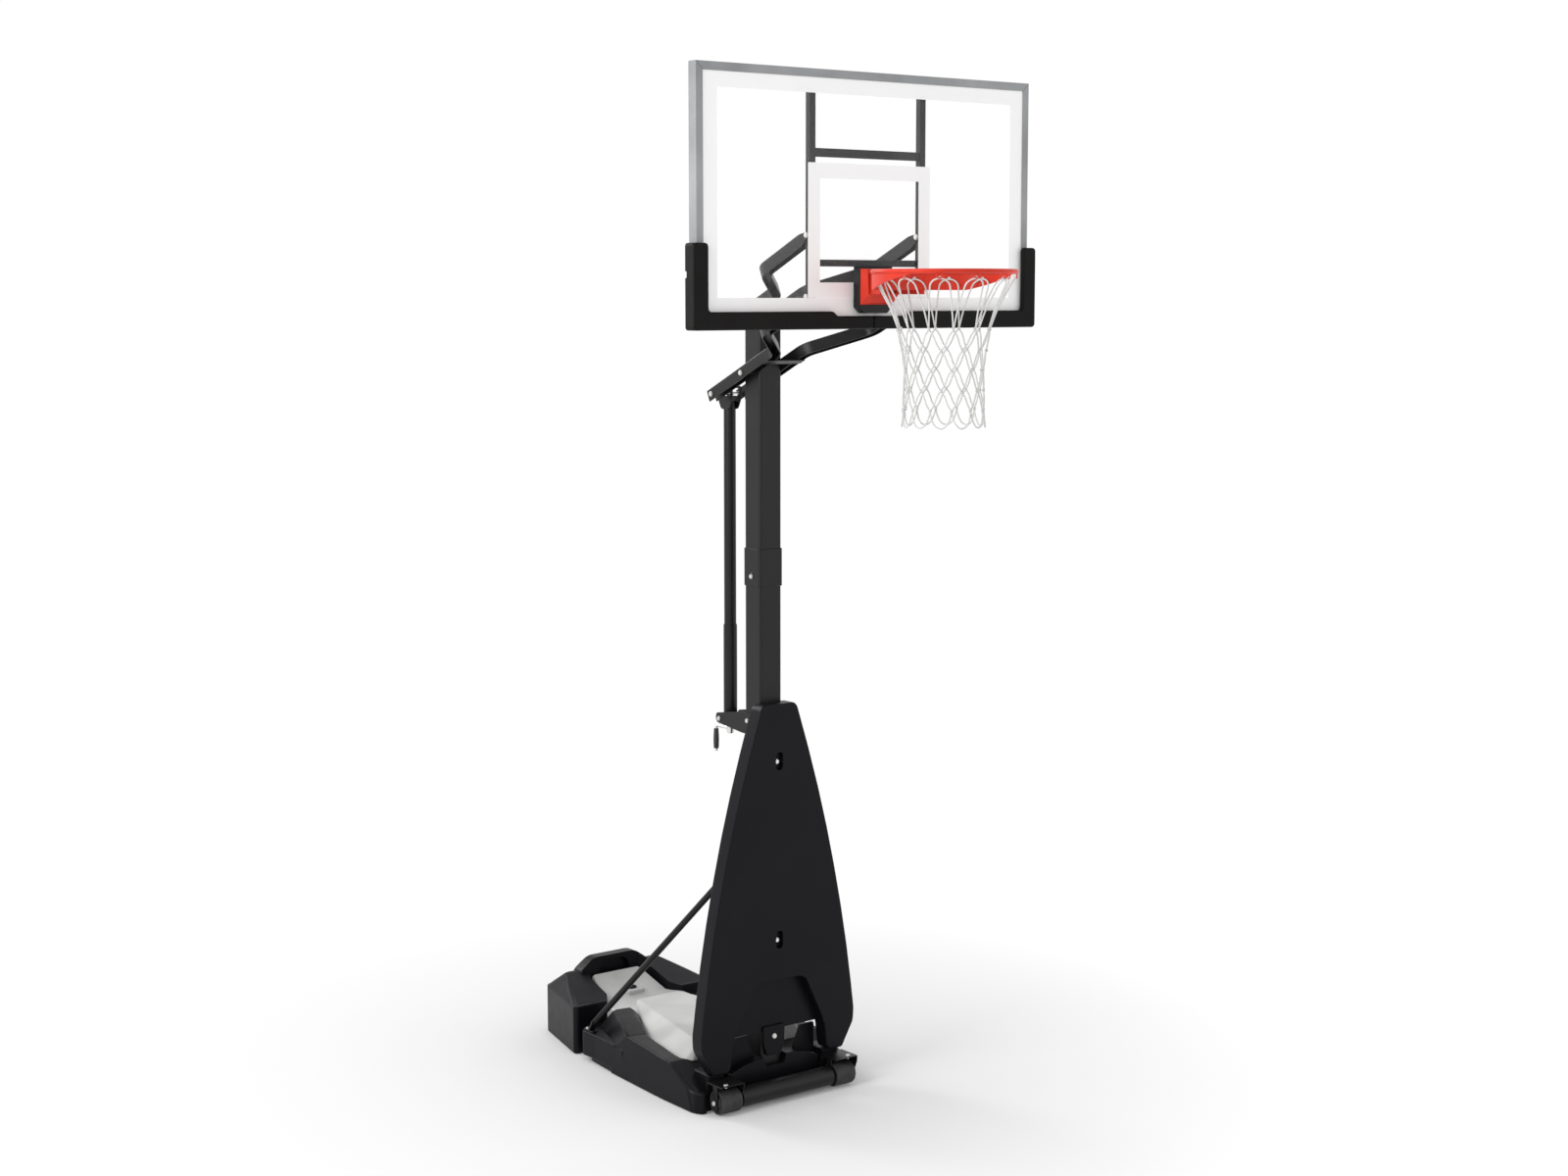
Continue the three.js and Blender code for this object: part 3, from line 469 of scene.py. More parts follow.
def sweep(path, radius, sides=12, closed=False, flat=None):
    """A round or flattened tube along a path, with its length in U and its girth in V."""
    shape = bmesh.new()
    layer = shape.loops.layers.uv.new("UVMap")
    count = len(path)
    tangents = []
    for i in range(count):
        before = path[i - 1] if closed or i > 0 else path[i]
        after = path[(i + 1) % count] if closed or i < count - 1 else path[i]
        tangents.append((after - before).normalized())
    normal = tangents[0].orthogonal().normalized()
    if flat is not None:
        normal = (Vector(flat[0]) - tangents[0] * tangents[0].dot(Vector(flat[0]))).normalized()
    rows, lengths, run = [], [], 0.0
    for i in range(count):
        normal = (normal - tangents[i] * normal.dot(tangents[i])).normalized()
        side = tangents[i].cross(normal)
        wide = radius * (flat[1][i] if flat is not None else 1.0)
        thin = radius * (flat[2][i] if flat is not None else 1.0)
        row = []
        for k in range(sides):
            turn = 2 * math.pi * k / sides
            point = path[i] + normal * wide * math.cos(turn) + side * thin * math.sin(turn)
            row.append(shape.verts.new(point))
        rows.append(row)
        if i > 0:
            run += (path[i] - path[i - 1]).length
        lengths.append(run)
    pairs = list(zip(range(count - 1), range(1, count))) + ([(count - 1, 0)] if closed else [])
    for a, b in pairs:
        for k in range(sides):
            m = (k + 1) % sides
            face = shape.faces.new((rows[a][k], rows[a][m], rows[b][m], rows[b][k]))
            end = lengths[b] if b > a else lengths[a] + (path[0] - path[-1]).length
            spots = ((lengths[a], k), (lengths[a], k + 1), (end, k + 1), (end, k))
            for loop, (u, v) in zip(face.loops, spots):
                loop[layer].uv = (u, v / sides)
    if not closed:
        shape.faces.new(rows[0][::-1])
        shape.faces.new(rows[-1])
    bmesh.ops.recalc_face_normals(shape, faces=shape.faces)
    return shape


def gathered(shapes):
    """Several separate shapes as one."""
    whole = bmesh.new()
    for shape in shapes:
        holder = bpy.data.meshes.new("holder")
        shape.to_mesh(holder)
        shape.free()
        whole.from_mesh(holder)
        bpy.data.meshes.remove(holder)
    return whole


def as_object(name, shape):
    """A new object in the scene whose mesh is the shape."""
    mesh = bpy.data.meshes.new(name)
    shape.to_mesh(mesh)
    shape.free()
    thing = bpy.data.objects.new(name, mesh)
    bpy.context.scene.collection.objects.link(thing)
    return thing


def settled(thing):
    """The object with its modifiers worked into its mesh."""
    bpy.context.view_layer.update()
    graph = bpy.context.evaluated_depsgraph_get()
    mesh = bpy.data.meshes.new_from_object(thing.evaluated_get(graph))
    old = thing.data
    thing.modifiers.clear()
    thing.data = mesh
    mesh.name = thing.name
    bpy.data.meshes.remove(old)
    return thing


def combined(thing, shape, operation):
    """Joins a shape to an object, or cuts it away."""
    tool = as_object("tool", shape)
    step = thing.modifiers.new("combine", "BOOLEAN")
    step.operation = operation
    step.solver = "EXACT"
    step.object = tool
    settled(thing)
    mesh = tool.data
    bpy.data.objects.remove(tool)
    bpy.data.meshes.remove(mesh)
    return thing


def joined(name, shapes):
    """One object from shapes that overlap."""
    thing = as_object(name, shapes[0])
    for shape in shapes[1:]:
        combined(thing, shape, "UNION")
    return thing


def cut_from(thing, shapes):
    for shape in shapes:
        combined(thing, shape, "DIFFERENCE")
    return thing


def frame_copy(name, node):
    """A free copy of a CAD node, with its flat faces made whole."""
    shape = bmesh.new()
    shape.from_mesh(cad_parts[node].data)
    bmesh.ops.remove_doubles(shape, verts=shape.verts, dist=2e-5)
    bmesh.ops.dissolve_limit(
        shape, angle_limit=math.radians(0.6), verts=shape.verts, edges=shape.edges,
        use_dissolve_boundaries=False,
    )
    bmesh.ops.recalc_face_normals(shape, faces=shape.faces)
    return as_object(name, shape)


def eased(thing, width, steps=3, angle=28):
    """Rounds the edges that turn by more than an angle."""
    step = thing.modifiers.new("ease", "BEVEL")
    step.width = width
    step.segments = steps
    step.limit_method = "ANGLE"
    step.angle_limit = math.radians(angle)
    step.use_clamp_overlap = True
    step.miter_outer = "MITER_ARC"
    return settled(thing)


def shaded(thing, angle=32):
    """Smooth shading that stays sharp where faces turn by more than an angle."""
    mesh = thing.data
    mesh.shade_smooth()
    mesh.set_sharp_from_angle(angle=math.radians(angle))
    return thing


def piece(thing, body, nodes, slot, finish=None, angle=32):
    """Gives a shape its finish and hangs it on its body in place of its CAD nodes."""
    shaded(thing, angle)
    thing.data.materials.clear()
    thing.data.materials.append(material_for(finish or slot))
    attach(thing, body)
    if nodes:
        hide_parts(*nodes)
    return thing


def sizes():
    return bpy.context.scene.hoop_sizes


def mm(*points):
    """Outline points given in millimetres."""
    return [(u / 1000, v / 1000) for u, v in points]


def inset(points, distance):
    """The outline moved inwards by a distance."""
    count = len(points)
    area = sum(points[i - 1][0] * points[i][1] - points[i][0] * points[i - 1][1] for i in range(count))
    turn = 1 if area > 0 else -1
    moved = []
    for i in range(count):
        here = Vector(points[i])
        before = (here - Vector(points[i - 1])).normalized()
        after = (Vector(points[(i + 1) % count]) - here).normalized()
        side = Vector((-before.y, before.x)) * turn
        way = (side + Vector((-after.y, after.x)) * turn).normalized()
        moved.append(tuple(here + way * distance / max(0.5, way.dot(side))))
    return moved


def parted(points):
    """The outline without points that sit on one another."""
    kept = []
    for point in points:
        if not kept or (Vector(point) - Vector(kept[-1])).length > 1e-5:
            kept.append(point)
    if (Vector(kept[0]) - Vector(kept[-1])).length < 1e-5:
        kept.pop()
    return kept


def holds(points, moved):
    """True if no side of an outline has turned over by being moved."""
    count = len(points)
    for i in range(count):
        before = Vector(points[(i + 1) % count]) - Vector(points[i])
        after = Vector(moved[(i + 1) % count]) - Vector(moved[i])
        if before.dot(after) <= 0:
            return False
    return True


def soft_prism(points, axis, low, high, edge, corner=None, steps=3):
    """A straight block with rounded corners and rounded rims at both ends."""
    outer = parted(rounded(points, corner or edge * 2))
    while not holds(outer, inset(outer, edge)):
        edge *= 0.9
    return lipped(outer, axis, low, high, edge, steps)


def lipped(outline, axis, low, high, edge, steps=3):
    """An outline pulled straight along an axis, with rounded rims at both ends."""
    rings = []
    for k in range(steps + 1):
        turn = k / steps * math.pi / 2
        rings.append((inset(outline, edge * (1 - math.sin(turn))), edge * (1 - math.cos(turn))))
    lower = [(ring, low + rise) for ring, rise in rings]
    upper = [(ring, high - rise) for ring, rise in reversed(rings)]
    return loft(lower + upper, axis)


def mouth(points, axis, face, end, edge, corner=None, steps=3):
    """A cutter that opens with a rounded lip at a face and runs straight on to an end."""
    outer = parted(rounded(points, corner or edge * 2))
    way = 1 if end > face else -1
    rings = [(inset(outer, -edge), face - way * 0.002)]
    for k in range(steps + 1):
        turn = k / steps * math.pi / 2
        rings.append((inset(outer, -edge * (1 - math.sin(turn))), face + way * edge * (1 - math.cos(turn))))
    rings.append((outer, end))
    return loft(rings if way > 0 else rings[::-1], axis)


def block(low, high, edge=0.001):
    """A straight-sided block between two corners."""
    return soft_prism(rectangle(low[0], high[0], low[1], high[1]), "Z", low[2], high[2], edge)


def finished(thing, body, nodes, slot, finish=None):
    """A piece whose shading follows its large faces."""
    piece(thing, body, nodes, slot, finish)
    step = thing.modifiers.new("even", "WEIGHTED_NORMAL")
    step.keep_sharp = True
    step.weight = 100
    return settled(thing)


def shifted(points, u, v):
    return [(a + u, b + v) for a, b in points]


def across(axis, centre):
    """The two coordinates of a centre that an outline across an axis uses."""
    return {"X": (centre.y, centre.z), "Y": (centre.x, centre.z), "Z": (centre.x, centre.y)}[axis]


def hex_bolt(node, axis, heads):
    """A hexagon bolt with washers in the place of a CAD bolt; heads says which ends carry one."""
    low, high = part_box(node)
    centre = (low + high) / 2
    index = AXES.index(axis)
    start, end = low[index], high[index]
    u, v = across(axis, centre)
    spread = max(high[i] - low[i] for i in range(3) if i != index) / 2
    head, ease = 0.0056, 0.0006
    flat_centre = Vector(centre)
    flat_centre[index] = 0
    shapes = [rod(spread * 0.52, axis, flat_centre, start + ease, end - ease, 28)]
    for side, wanted in ((-1, heads[0]), (1, heads[1])):
        if not wanted:
            continue
        tip = start if side < 0 else end
        root = tip - side * head
        a, b = sorted((tip - side * ease, root))
        shapes.append(soft_prism(shifted(circle(spread * 0.94, 6), u, v), axis, a, b, 0.0007, 0.0008, 2))
        c, d = sorted((root + side * 0.0002, root + side * 0.0014))
        shapes.append(rod(spread * 0.995, axis, flat_centre, c, d, 36, 0.0003))
    return joined(f"hex_{node}", shapes)


# ---------------------------------------------------------------- base and tank


class HOOP_OT_base(bpy.types.Operator):
    """Blow-moulded base with its raised rear shell, carrying handle and pole pocket"""

    bl_idname = "hoop.base"
    bl_label = "Base"

    def execute(self, context):
        edge = sizes().edge_round
        body = both_sides(mm((0, 400), (352, 420), (334, 620), (326, 690), (0, 690)))
        shelf = both_sides(mm((0, 480), (346, 480), (340, 640), (342, 722), (326, 736), (0, 736)))
        neck = both_sides(mm((0, 600), (276, 600), (276, 900), (0, 900)))
        lobe = both_sides(mm((0, 790), (318, 790), (331, 802), (254, 1120), (236, 1146), (0, 1152)))
        toe = mm((322, -60), (322, -90), (345, -90), (362, -62), (362, -20), (322, -20))
        seat = mm(*rectangle(228, 304, -70, 30))
        gussets = {
            -1: mm((216, 100), (216, 236), (96, 236), (66, 150), (66, 100)),
            1: mm((216, 100), (216, 233), (150, 233), (118, 152), (118, 100)),
        }
        wall = both_sides(mm(
            (0, 152), (62, 152), (100, 148), (141, 141), (198, 122), (206, 112), (206, 40), (0, 40),
        ))
        handle = mm(
            (-170, 230), (-165, 256), (-132, 281), (-98, 303), (98, 303), (132, 281), (165, 256), (170, 230),
        )
        shapes = [
            soft_prism(body, "Z", 0, 0.112, edge * 1.4, 0.02),
            faceted(corners(RIM_FACETS), edge),
            soft_prism(shelf, "Z", 0.02, 0.118, edge, 0.014),
            soft_prism(neck, "Z", 0, 0.112, edge * 1.4, 0.02),
            soft_prism(lobe, "Z", 0, 0.19, edge * 1.3, 0.018),
            faceted(corners(CROWN_FACETS), edge * 1.2),
            soft_prism(wall, "Y", -0.072, 0, edge * 0.8, 0.008),
            soft_prism(handle, "Y", 1.004, 1.064, edge * 1.3, 0.02),
        ]
        for side in (-1, 1):
            shapes += [
                faceted(corners(HIP_FACETS, side), edge * 1.1),
                soft_prism([(side * x, y) for x, y in toe], "Z", 0, 0.078, edge, 0.01),
                soft_prism([(side * x, y) for x, y in seat], "Z", 0.02, 0.134, edge, 0.014),
                soft_prism([(side * x, z) for x, z in gussets[side]], "Y", -0.03, -0.018, edge * 0.5, 0.008),
            ]
        base = joined("base_moulding", shapes)
        pocket = inset(tank_outline(), -0.0015)
        arch = mm((-78, 215), (-72, 258), (-48, 284), (48, 284), (72, 258), (78, 215))
        notch = mm((-58, 170), (-43, 117), (43, 117), (58, 170))
        foot = mm(*rectangle(-49.3, 49.3, -49.3, 49.3))
        cut_from(base, [
            prism(parted(rounded(pocket, 0.01)), "Z", 0.034, 0.33),
            prism(parted(rounded(arch, 0.016)), "Y", 0.98, 1.034),
            prism(parted(rounded(notch, 0.01)), "Y", -0.14, -0.02),
            prism(foot, "Z", 0.03, 0.3),
            prism(circle(BOLT_HOLE, 20, (-STRUT_FOOT[0], STRUT_FOOT[1])), "Z", 0.05, 0.2),
            prism(circle(BOLT_HOLE, 20, STRUT_FOOT), "Z", 0.05, 0.2),
        ])
        finished(base, "base", ["base_vessel"], "black_plastic")
        return {"FINISHED"}


# Corners in millimetres, for the right half: the side rail, the hip behind it, the rear shell's crown, and the
# block and ramp on the tank.
RIM_FACETS = (
    (340, -72, 0), (366, -50, 0), (366, 150, 0), (352, 420, 0), (347, 520, 0),
    (340, -72, 76), (364, -20, 80), (354, 110, 149), (333, 420, 166), (345, 500, 104),
)
HIP_FACETS = (
    (333, 418, 166), (250, 400, 166), (345, 500, 100), (290, 612, 112), (268, 722, 112), (160, 722, 112),
    (225, 678, 190), (191, 664, 190), (140, 664, 190), (200, 562, 190), (262, 552, 184), (140, 420, 112),
)
CROWN_FACETS = (
    (316, 794, 150), (329, 806, 150), (253, 1118, 150), (235, 1144, 150), (10, 1149, 150),
    (316, 794, 187), (329, 806, 187), (253, 1118, 187), (235, 1144, 187), (10, 1149, 187),
    (228, 1030, 256), (200, 1046, 256),
)
BLOCK_FACETS = (
    (262, 96, 126), (286, 122, 126), (286, 160, 126), (257, 393, 126), (161, 602, 126), (98, 712, 126),
    (225, 106, 204), (195, 250, 204), (98, 698, 204), (98, 710, 194),
)
RAMP_FACETS = (
    (143, 838, 150), (141, 950, 150), (114, 1004, 150), (143, 838, 166), (117, 998, 230), (106, 1004, 236),
)


def corners(half, *sides):
    """Corners listed in millimetres for the right half, on one side or on both."""
    return [(side * x / 1000, y / 1000, z / 1000) for x, y, z in half for side in sides or (1, -1)]


def faceted(spots, edge, steps=3):
    """The solid that spans some corners, with its edges rounded."""
    shape = bmesh.new()
    for spot in spots:
        shape.verts.new(spot)
    bmesh.ops.convex_hull(shape, input=shape.verts)
    bmesh.ops.delete(shape, geom=[v for v in shape.verts if not v.link_faces], context="VERTS")
    bmesh.ops.dissolve_limit(shape, angle_limit=math.radians(1.5), verts=shape.verts, edges=shape.edges)
    turned = [e for e in shape.edges if e.calc_face_angle(0.0) > math.radians(8)]
    bmesh.ops.bevel(
        shape, geom=turned, offset=edge, offset_type="OFFSET", segments=steps, profile=0.5, affect="EDGES",
        clamp_overlap=True,
    )
    bmesh.ops.recalc_face_normals(shape, faces=shape.faces)
    return shape


TANK_REAR = ((153, 690), (184, 734), (184, 786), (148, 837), (145, 955), (118, 1010), (0, 1010))


def tank_outline():
    front = ((0, 92), (262, 92), (292, 120), (292, 160), (262, 395), (166, 600))
    return both_sides(mm(*front, *TANK_REAR))


class HOOP_OT_tank(bpy.types.Operator):
    """Light grey ballast tank with its stepped top, set into the base"""

    bl_idname = "hoop.tank"
    bl_label = "Ballast tank"

    def execute(self, context):
        edge = sizes().edge_round
        rear = both_sides(mm((0, 640), (158, 640), *TANK_REAR))
        pad = mm(*rectangle(-42, 42, 850, 935))
        tank = joined("tank_moulding", [
            soft_prism(tank_outline(), "Z", 0.036, 0.132, edge * 0.9, 0.01),
            soft_prism(rear, "Z", 0.1, 0.168, edge * 1.1, 0.01),
            faceted(corners(BLOCK_FACETS), edge * 1.4, 4),
            faceted(corners(RAMP_FACETS), edge),
            soft_prism(pad, "Z", 0.12, 0.19, edge, 0.016),
        ])
        cut_from(tank, [
            prism(circle(0.024, 48, (0, CAP_Y)), "Z", 0.178, 0.33),
            prism(circle(0.017, 40, (0, CAP_Y)), "Z", 0.15, 0.33),
        ])
        finished(tank, "base", ["ballast_tank"], "grey_plastic")
        return {"FINISHED"}


class HOOP_OT_filler(bpy.types.Operator):
    """Screw cap over the tank's filling hole, ribbed for grip"""

    bl_idname = "hoop.filler"
    bl_label = "Filler cap"

    def execute(self, context):
        ribs = 30
        points = []
        for i in range(ribs * 4):
            turn = 2 * math.pi * i / (ribs * 4)
            reach = 0.0219 + 0.0006 * math.cos(turn * ribs)
            points.append((reach * math.cos(turn), CAP_Y + reach * math.sin(turn)))
        centre = (0, CAP_Y, 0)
        dish = [(0, 0.1945), (0.0165, 0.1945), (0.0175, 0.1955), (0.0178, 0.2), (0, 0.2)]
        skirt = lipped(points, "Z", 0.1785, 0.196, 0.0012)
        cap = joined("screw_cap", [skirt, rod(0.0162, "Z", centre, 0.158, 0.18, 36)])
        cut_from(cap, [lathe(dish, "Z", centre)])
        finished(cap, "cap", ["filler_cap"], "black_plastic")
        return {"FINISHED"}


# ---------------------------------------------------------------- rollers


class HOOP_OT_rollers(bpy.types.Operator):
    """Two ribbed transport rollers on one axle, with the tube and brackets between them"""

    bl_idname = "hoop.rollers"
    bl_label = "Rollers"

    def wheel(self, side):
        low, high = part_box(f"roller_{side}")
        radius = (high.z - low.z) / 2
        half = (high.x - low.x) / 2
        centre = (low + high) / 2
        shoulder = [(radius - 0.006, half), (radius - 0.0018, half - 0.0012), (radius, half - 0.005)]
        width = 2 * (half - 0.005)
        groove = ((0, 0.0013), (0.0011, 0.0005), (0.0011, -0.0005), (0, -0.0013))
        tread = []
        ribs = 7
        for i in range(1, ribs):
            spot = half - 0.005 - width * i / ribs
            tread += [(radius - deep, spot + aside) for deep, aside in groove]
        hub = [
            (0.0062, half), (0.0182, half), (0.0195, half - 0.0005),
            (0.0215, half - 0.0055), (0.0365, half - 0.005), (0.0385, half - 0.0006),
        ]
        upper = hub + shoulder
        lower = [(r, -h) for r, h in upper[::-1]]
        thing = as_object(f"wheel_{side}", lathe(upper + tread + lower, "X", centre, 72))
        spoke = mm(*rectangle(-1.6, 1.6, 20.5, 37.5))
        spokes = []
        for i in range(6):
            turn = i * math.pi / 3
            for end in (-1, 1):
                bar = prism(spoke, "X", end * (half - 0.0075), end * (half - 0.002))
                bmesh.ops.rotate(bar, verts=bar.verts, cent=(0, 0, 0), matrix=Matrix.Rotation(turn, 3, "X"))
                bmesh.ops.translate(bar, verts=bar.verts, vec=centre)
                spokes.append(bar)
        combined(thing, gathered(spokes), "UNION")
        finished(thing, f"{side}_roller", [f"roller_{side}"], "rubber")

    def execute(self, context):
        for side in ("left", "right"):
            self.wheel(side)
            bracket = frame_copy(f"fork_{side}", f"wheel_bracket_{side}")
            low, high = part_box(f"wheel_bracket_{side}")
            cheek = high.x - 0.004
            cut_from(bracket, [
                block((low.x - 0.01, low.y - 0.01, 0.01), (cheek, -0.139, 0.111), 0.0004),
                block((low.x - 0.01, -0.113, 0.01), (cheek, -0.0765, 0.111), 0.0004),
            ])
            eased(bracket, sizes().metal_edge * 0.8, 2)
            finished(bracket, "base", [f"wheel_bracket_{side}"], "black_metal")
        centre = Vector((0, middle("axle").y, middle("axle").z))
        wall = [
            (0.033, -0.21), (0.0365, -0.21), (0.037, -0.2095), (0.037, 0.2095), (0.0365, 0.21), (0.033, 0.21),
        ]
        tube = as_object("spreader_tube", lathe(wall, "X", centre, 64))
        finished(tube, "base", ["axle_tube"], "black_metal")
        finished(hex_bolt("axle", "X", (True, True)), "base", ["axle"], "zinc")
        return {"FINISHED"}


# ---------------------------------------------------------------- front cover


class HOOP_OT_cover(bpy.types.Operator):
    """Tall moulded cover that stands before the pole, with two bolt slots and a foot arch"""

    bl_idname = "hoop.cover"
    bl_label = "Front cover"

    def execute(self, context):
        edge = sizes().edge_round
        half = mm(
            (0, 1482), (70, 1482), (84, 1468), (136, 1308), (182, 1154), (223, 1000), (259, 846), (291, 692),
            (319, 536), (342, 380), (355, 280), (352, 230), (306, 150), (298, 136), (236, 136), (224, 150),
            (212, 250), (126, 250), (0, 250),
        )
        front = -0.1
        shell = as_object(
            "cover_shell", soft_prism(both_sides(half), "Y", front, -0.036, edge * 1.15, 0.014, 4),
        )
        arch = both_sides(mm((0, 450), (100, 447), (124, 434), (206, 262), (214, 190), (0, 190)))
        hollow = both_sides(mm(
            (0, 1474), (62, 1474), (75, 1460), (170, 1150), (211, 998), (247, 844), (279, 690), (306, 534),
            (315, 472), (0, 472),
        ))
        tab = mm((-50, 266), (50, 266), (48, 196), (31, 154), (-31, 154), (-48, 196))
        slots = [mm(*rectangle(-16, 16, low, high)) for low, high in ((1237, 1303), (567, 633))]
        bosses = [mm(*rectangle(-30, 30, low, high)) for low, high in ((1222, 1318), (552, 648))]
        cut_from(shell, [
            mouth(arch, "Y", front, -0.057, 0.003, 0.02),
            prism(rounded(hollow, 0.01), "Y", -0.094, -0.02),
        ])
        for boss in bosses:
            combined(shell, prism(rounded(boss, 0.0299, 10), "Y", -0.096, -0.0492), "UNION")
        combined(shell, soft_prism(tab, "Y", -0.066, -0.052, 0.002, 0.006), "UNION")
        cut_from(shell, [mouth(slot, "Y", front, -0.082, 0.0025, 0.0159) for slot in slots])
        for height in (1.266, 0.596, 0.226):
            cut_from(shell, [prism(circle(BOLT_HOLE, 20, (0, height)), "Y", -0.11, -0.02)])
        cut_from(shell, [block((-0.05, -0.0492, 0.1), (0.05, -0.02, 1.6), 0.0005)])
        finished(shell, "base", ["front_cover"], "black_plastic")
        return {"FINISHED"}


# ---------------------------------------------------------------- pole and struts


def square_ring(size, wall, corner):
    """The outer and the inner outline of a square tube."""
    half = size / 2
    outer = rectangle(-half, half, -half, half)
    return rounded(outer, corner, 7), rounded(inset(outer, wall), max(corner - wall, 0.001), 7)


def square_tube(name, size, wall, corner, low, high, x=0.0, y=0.0, edge=0.0008):
    """A square tube standing on end, with eased rims."""
    outer, inner = square_ring(size, wall, corner)
    outer = parted(shifted(outer, x, y))
    inner = parted(shifted(inner, x, y))
    rings = [(inset(outer, edge), low), (outer, low + edge), (outer, high - edge), (inset(outer, edge), high)]
    thing = as_object(name, loft(rings, "Z"))
    return cut_from(thing, [prism(inner, "Z", low - 0.01, high + 0.01)])


class HOOP_OT_pole(bpy.types.Operator):
    """Square pole in two lengths, with its coupling collar and top cap"""

    bl_idname = "hoop.pole"
    bl_label = "Pole"

    def execute(self, context):
        for part in ("lower", "upper"):
            low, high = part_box(f"pole_{part}")
            tube = square_tube(f"post_{part}", high.x - low.x, 0.003, 0.012, low.z, high.z)
            finished(tube, "base", [f"pole_{part}"], "black_metal")
        low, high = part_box("pole_collar")
        collar = square_tube("coupling_collar", high.x - low.x, 0.0036, 0.014, low.z, high.z, edge=0.0014)
        finished(collar, "base", ["pole_collar"], "black_metal")
        low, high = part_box("pole_cap")
        half = high.x
        cap = joined("top_cap", [
            soft_prism(rectangle(-half, half, -half, half), "Z", high.z - 0.0086, high.z, 0.003, 0.012),
            soft_prism(mm(*rectangle(-44, 44, -44, 44)), "Z", low.z, high.z - 0.003, 0.002, 0.008),
        ])
        finished(cap, "base", ["pole_cap"], "black_plastic")
        return {"FINISHED"}


class HOOP_OT_struts(bpy.types.Operator):
    """Two round struts from the pole to the rear of the base, flattened where they bolt on"""

    bl_idname = "hoop.struts"
    bl_label = "Struts"

    def strut(self, label, side):
        top = Vector((side * 0.06, 0.02, 0.917))
        out = side * STRUT_FOOT[0]
        foot = Vector((out, 0.672, 0.152))
        run = (foot - top).normalized()
        path = [top + run * (0.042 + 0.93 * step / 20) for step in range(21)]
        path = [point for point in path if (foot - point).dot(run) > 0.012] + [foot - run * 0.001]
        count = len(path)
        wide = [1.0] * count
        thin = [1.0] * count
        for i in range(count):
            near = min(i, count - 1 - i)
            if near < 2:
                wide[i] = (1.06, 1.02)[near]
                thin[i] = (0.62, 0.86)[near]
        tube = sweep(path, 0.0125, 28, flat=((0, side * 0.6, 1), wide, thin))
        inner = 0.0494 if side > 0 else -0.0554
        head = mm((4, 936), (34, 936), (56, 886), (30, 868), (4, 900))
        plate = mm(*rectangle(-14, 14, 660, 728))
        link = mm(*rectangle(29, 51, 883, 905))
        riser = block((-0.013, -0.0045, -0.026), (0.013, 0.0045, 0.026), 0.0015)
        bmesh.ops.rotate(riser, verts=riser.verts, cent=(0, 0, 0), matrix=Matrix.Rotation(0.55, 3, "X"))
        bmesh.ops.translate(riser, verts=riser.verts, vec=(out, 0.676, 0.144))
        thing = joined(f"brace_{label}", [
            tube,
            soft_prism(head, "X", inner, inner + 0.006, 0.0012, 0.008),
            soft_prism(link, "X", side * 0.06 - 0.007, side * 0.06 + 0.007, 0.002),
            riser,
            soft_prism(shifted(plate, out, 0), "Z", 0.119, 0.125, 0.0012, 0.012),
        ])
        cut_from(thing, [
            prism(circle(PIVOT_HOLE, 20, (0.02, 0.917)), "X", -0.09, 0.09),
            prism(circle(BOLT_HOLE, 20, (out, STRUT_FOOT[1])), "Z", 0.09, 0.14),
        ])
        finished(thing, "base", [f"strut_{label}"], "black_metal")

    def execute(self, context):
        self.strut("left", -1)
        self.strut("right", 1)
        return {"FINISHED"}


# ---------------------------------------------------------------- screw jack


REAR_PIN = middle("rear_bolt")


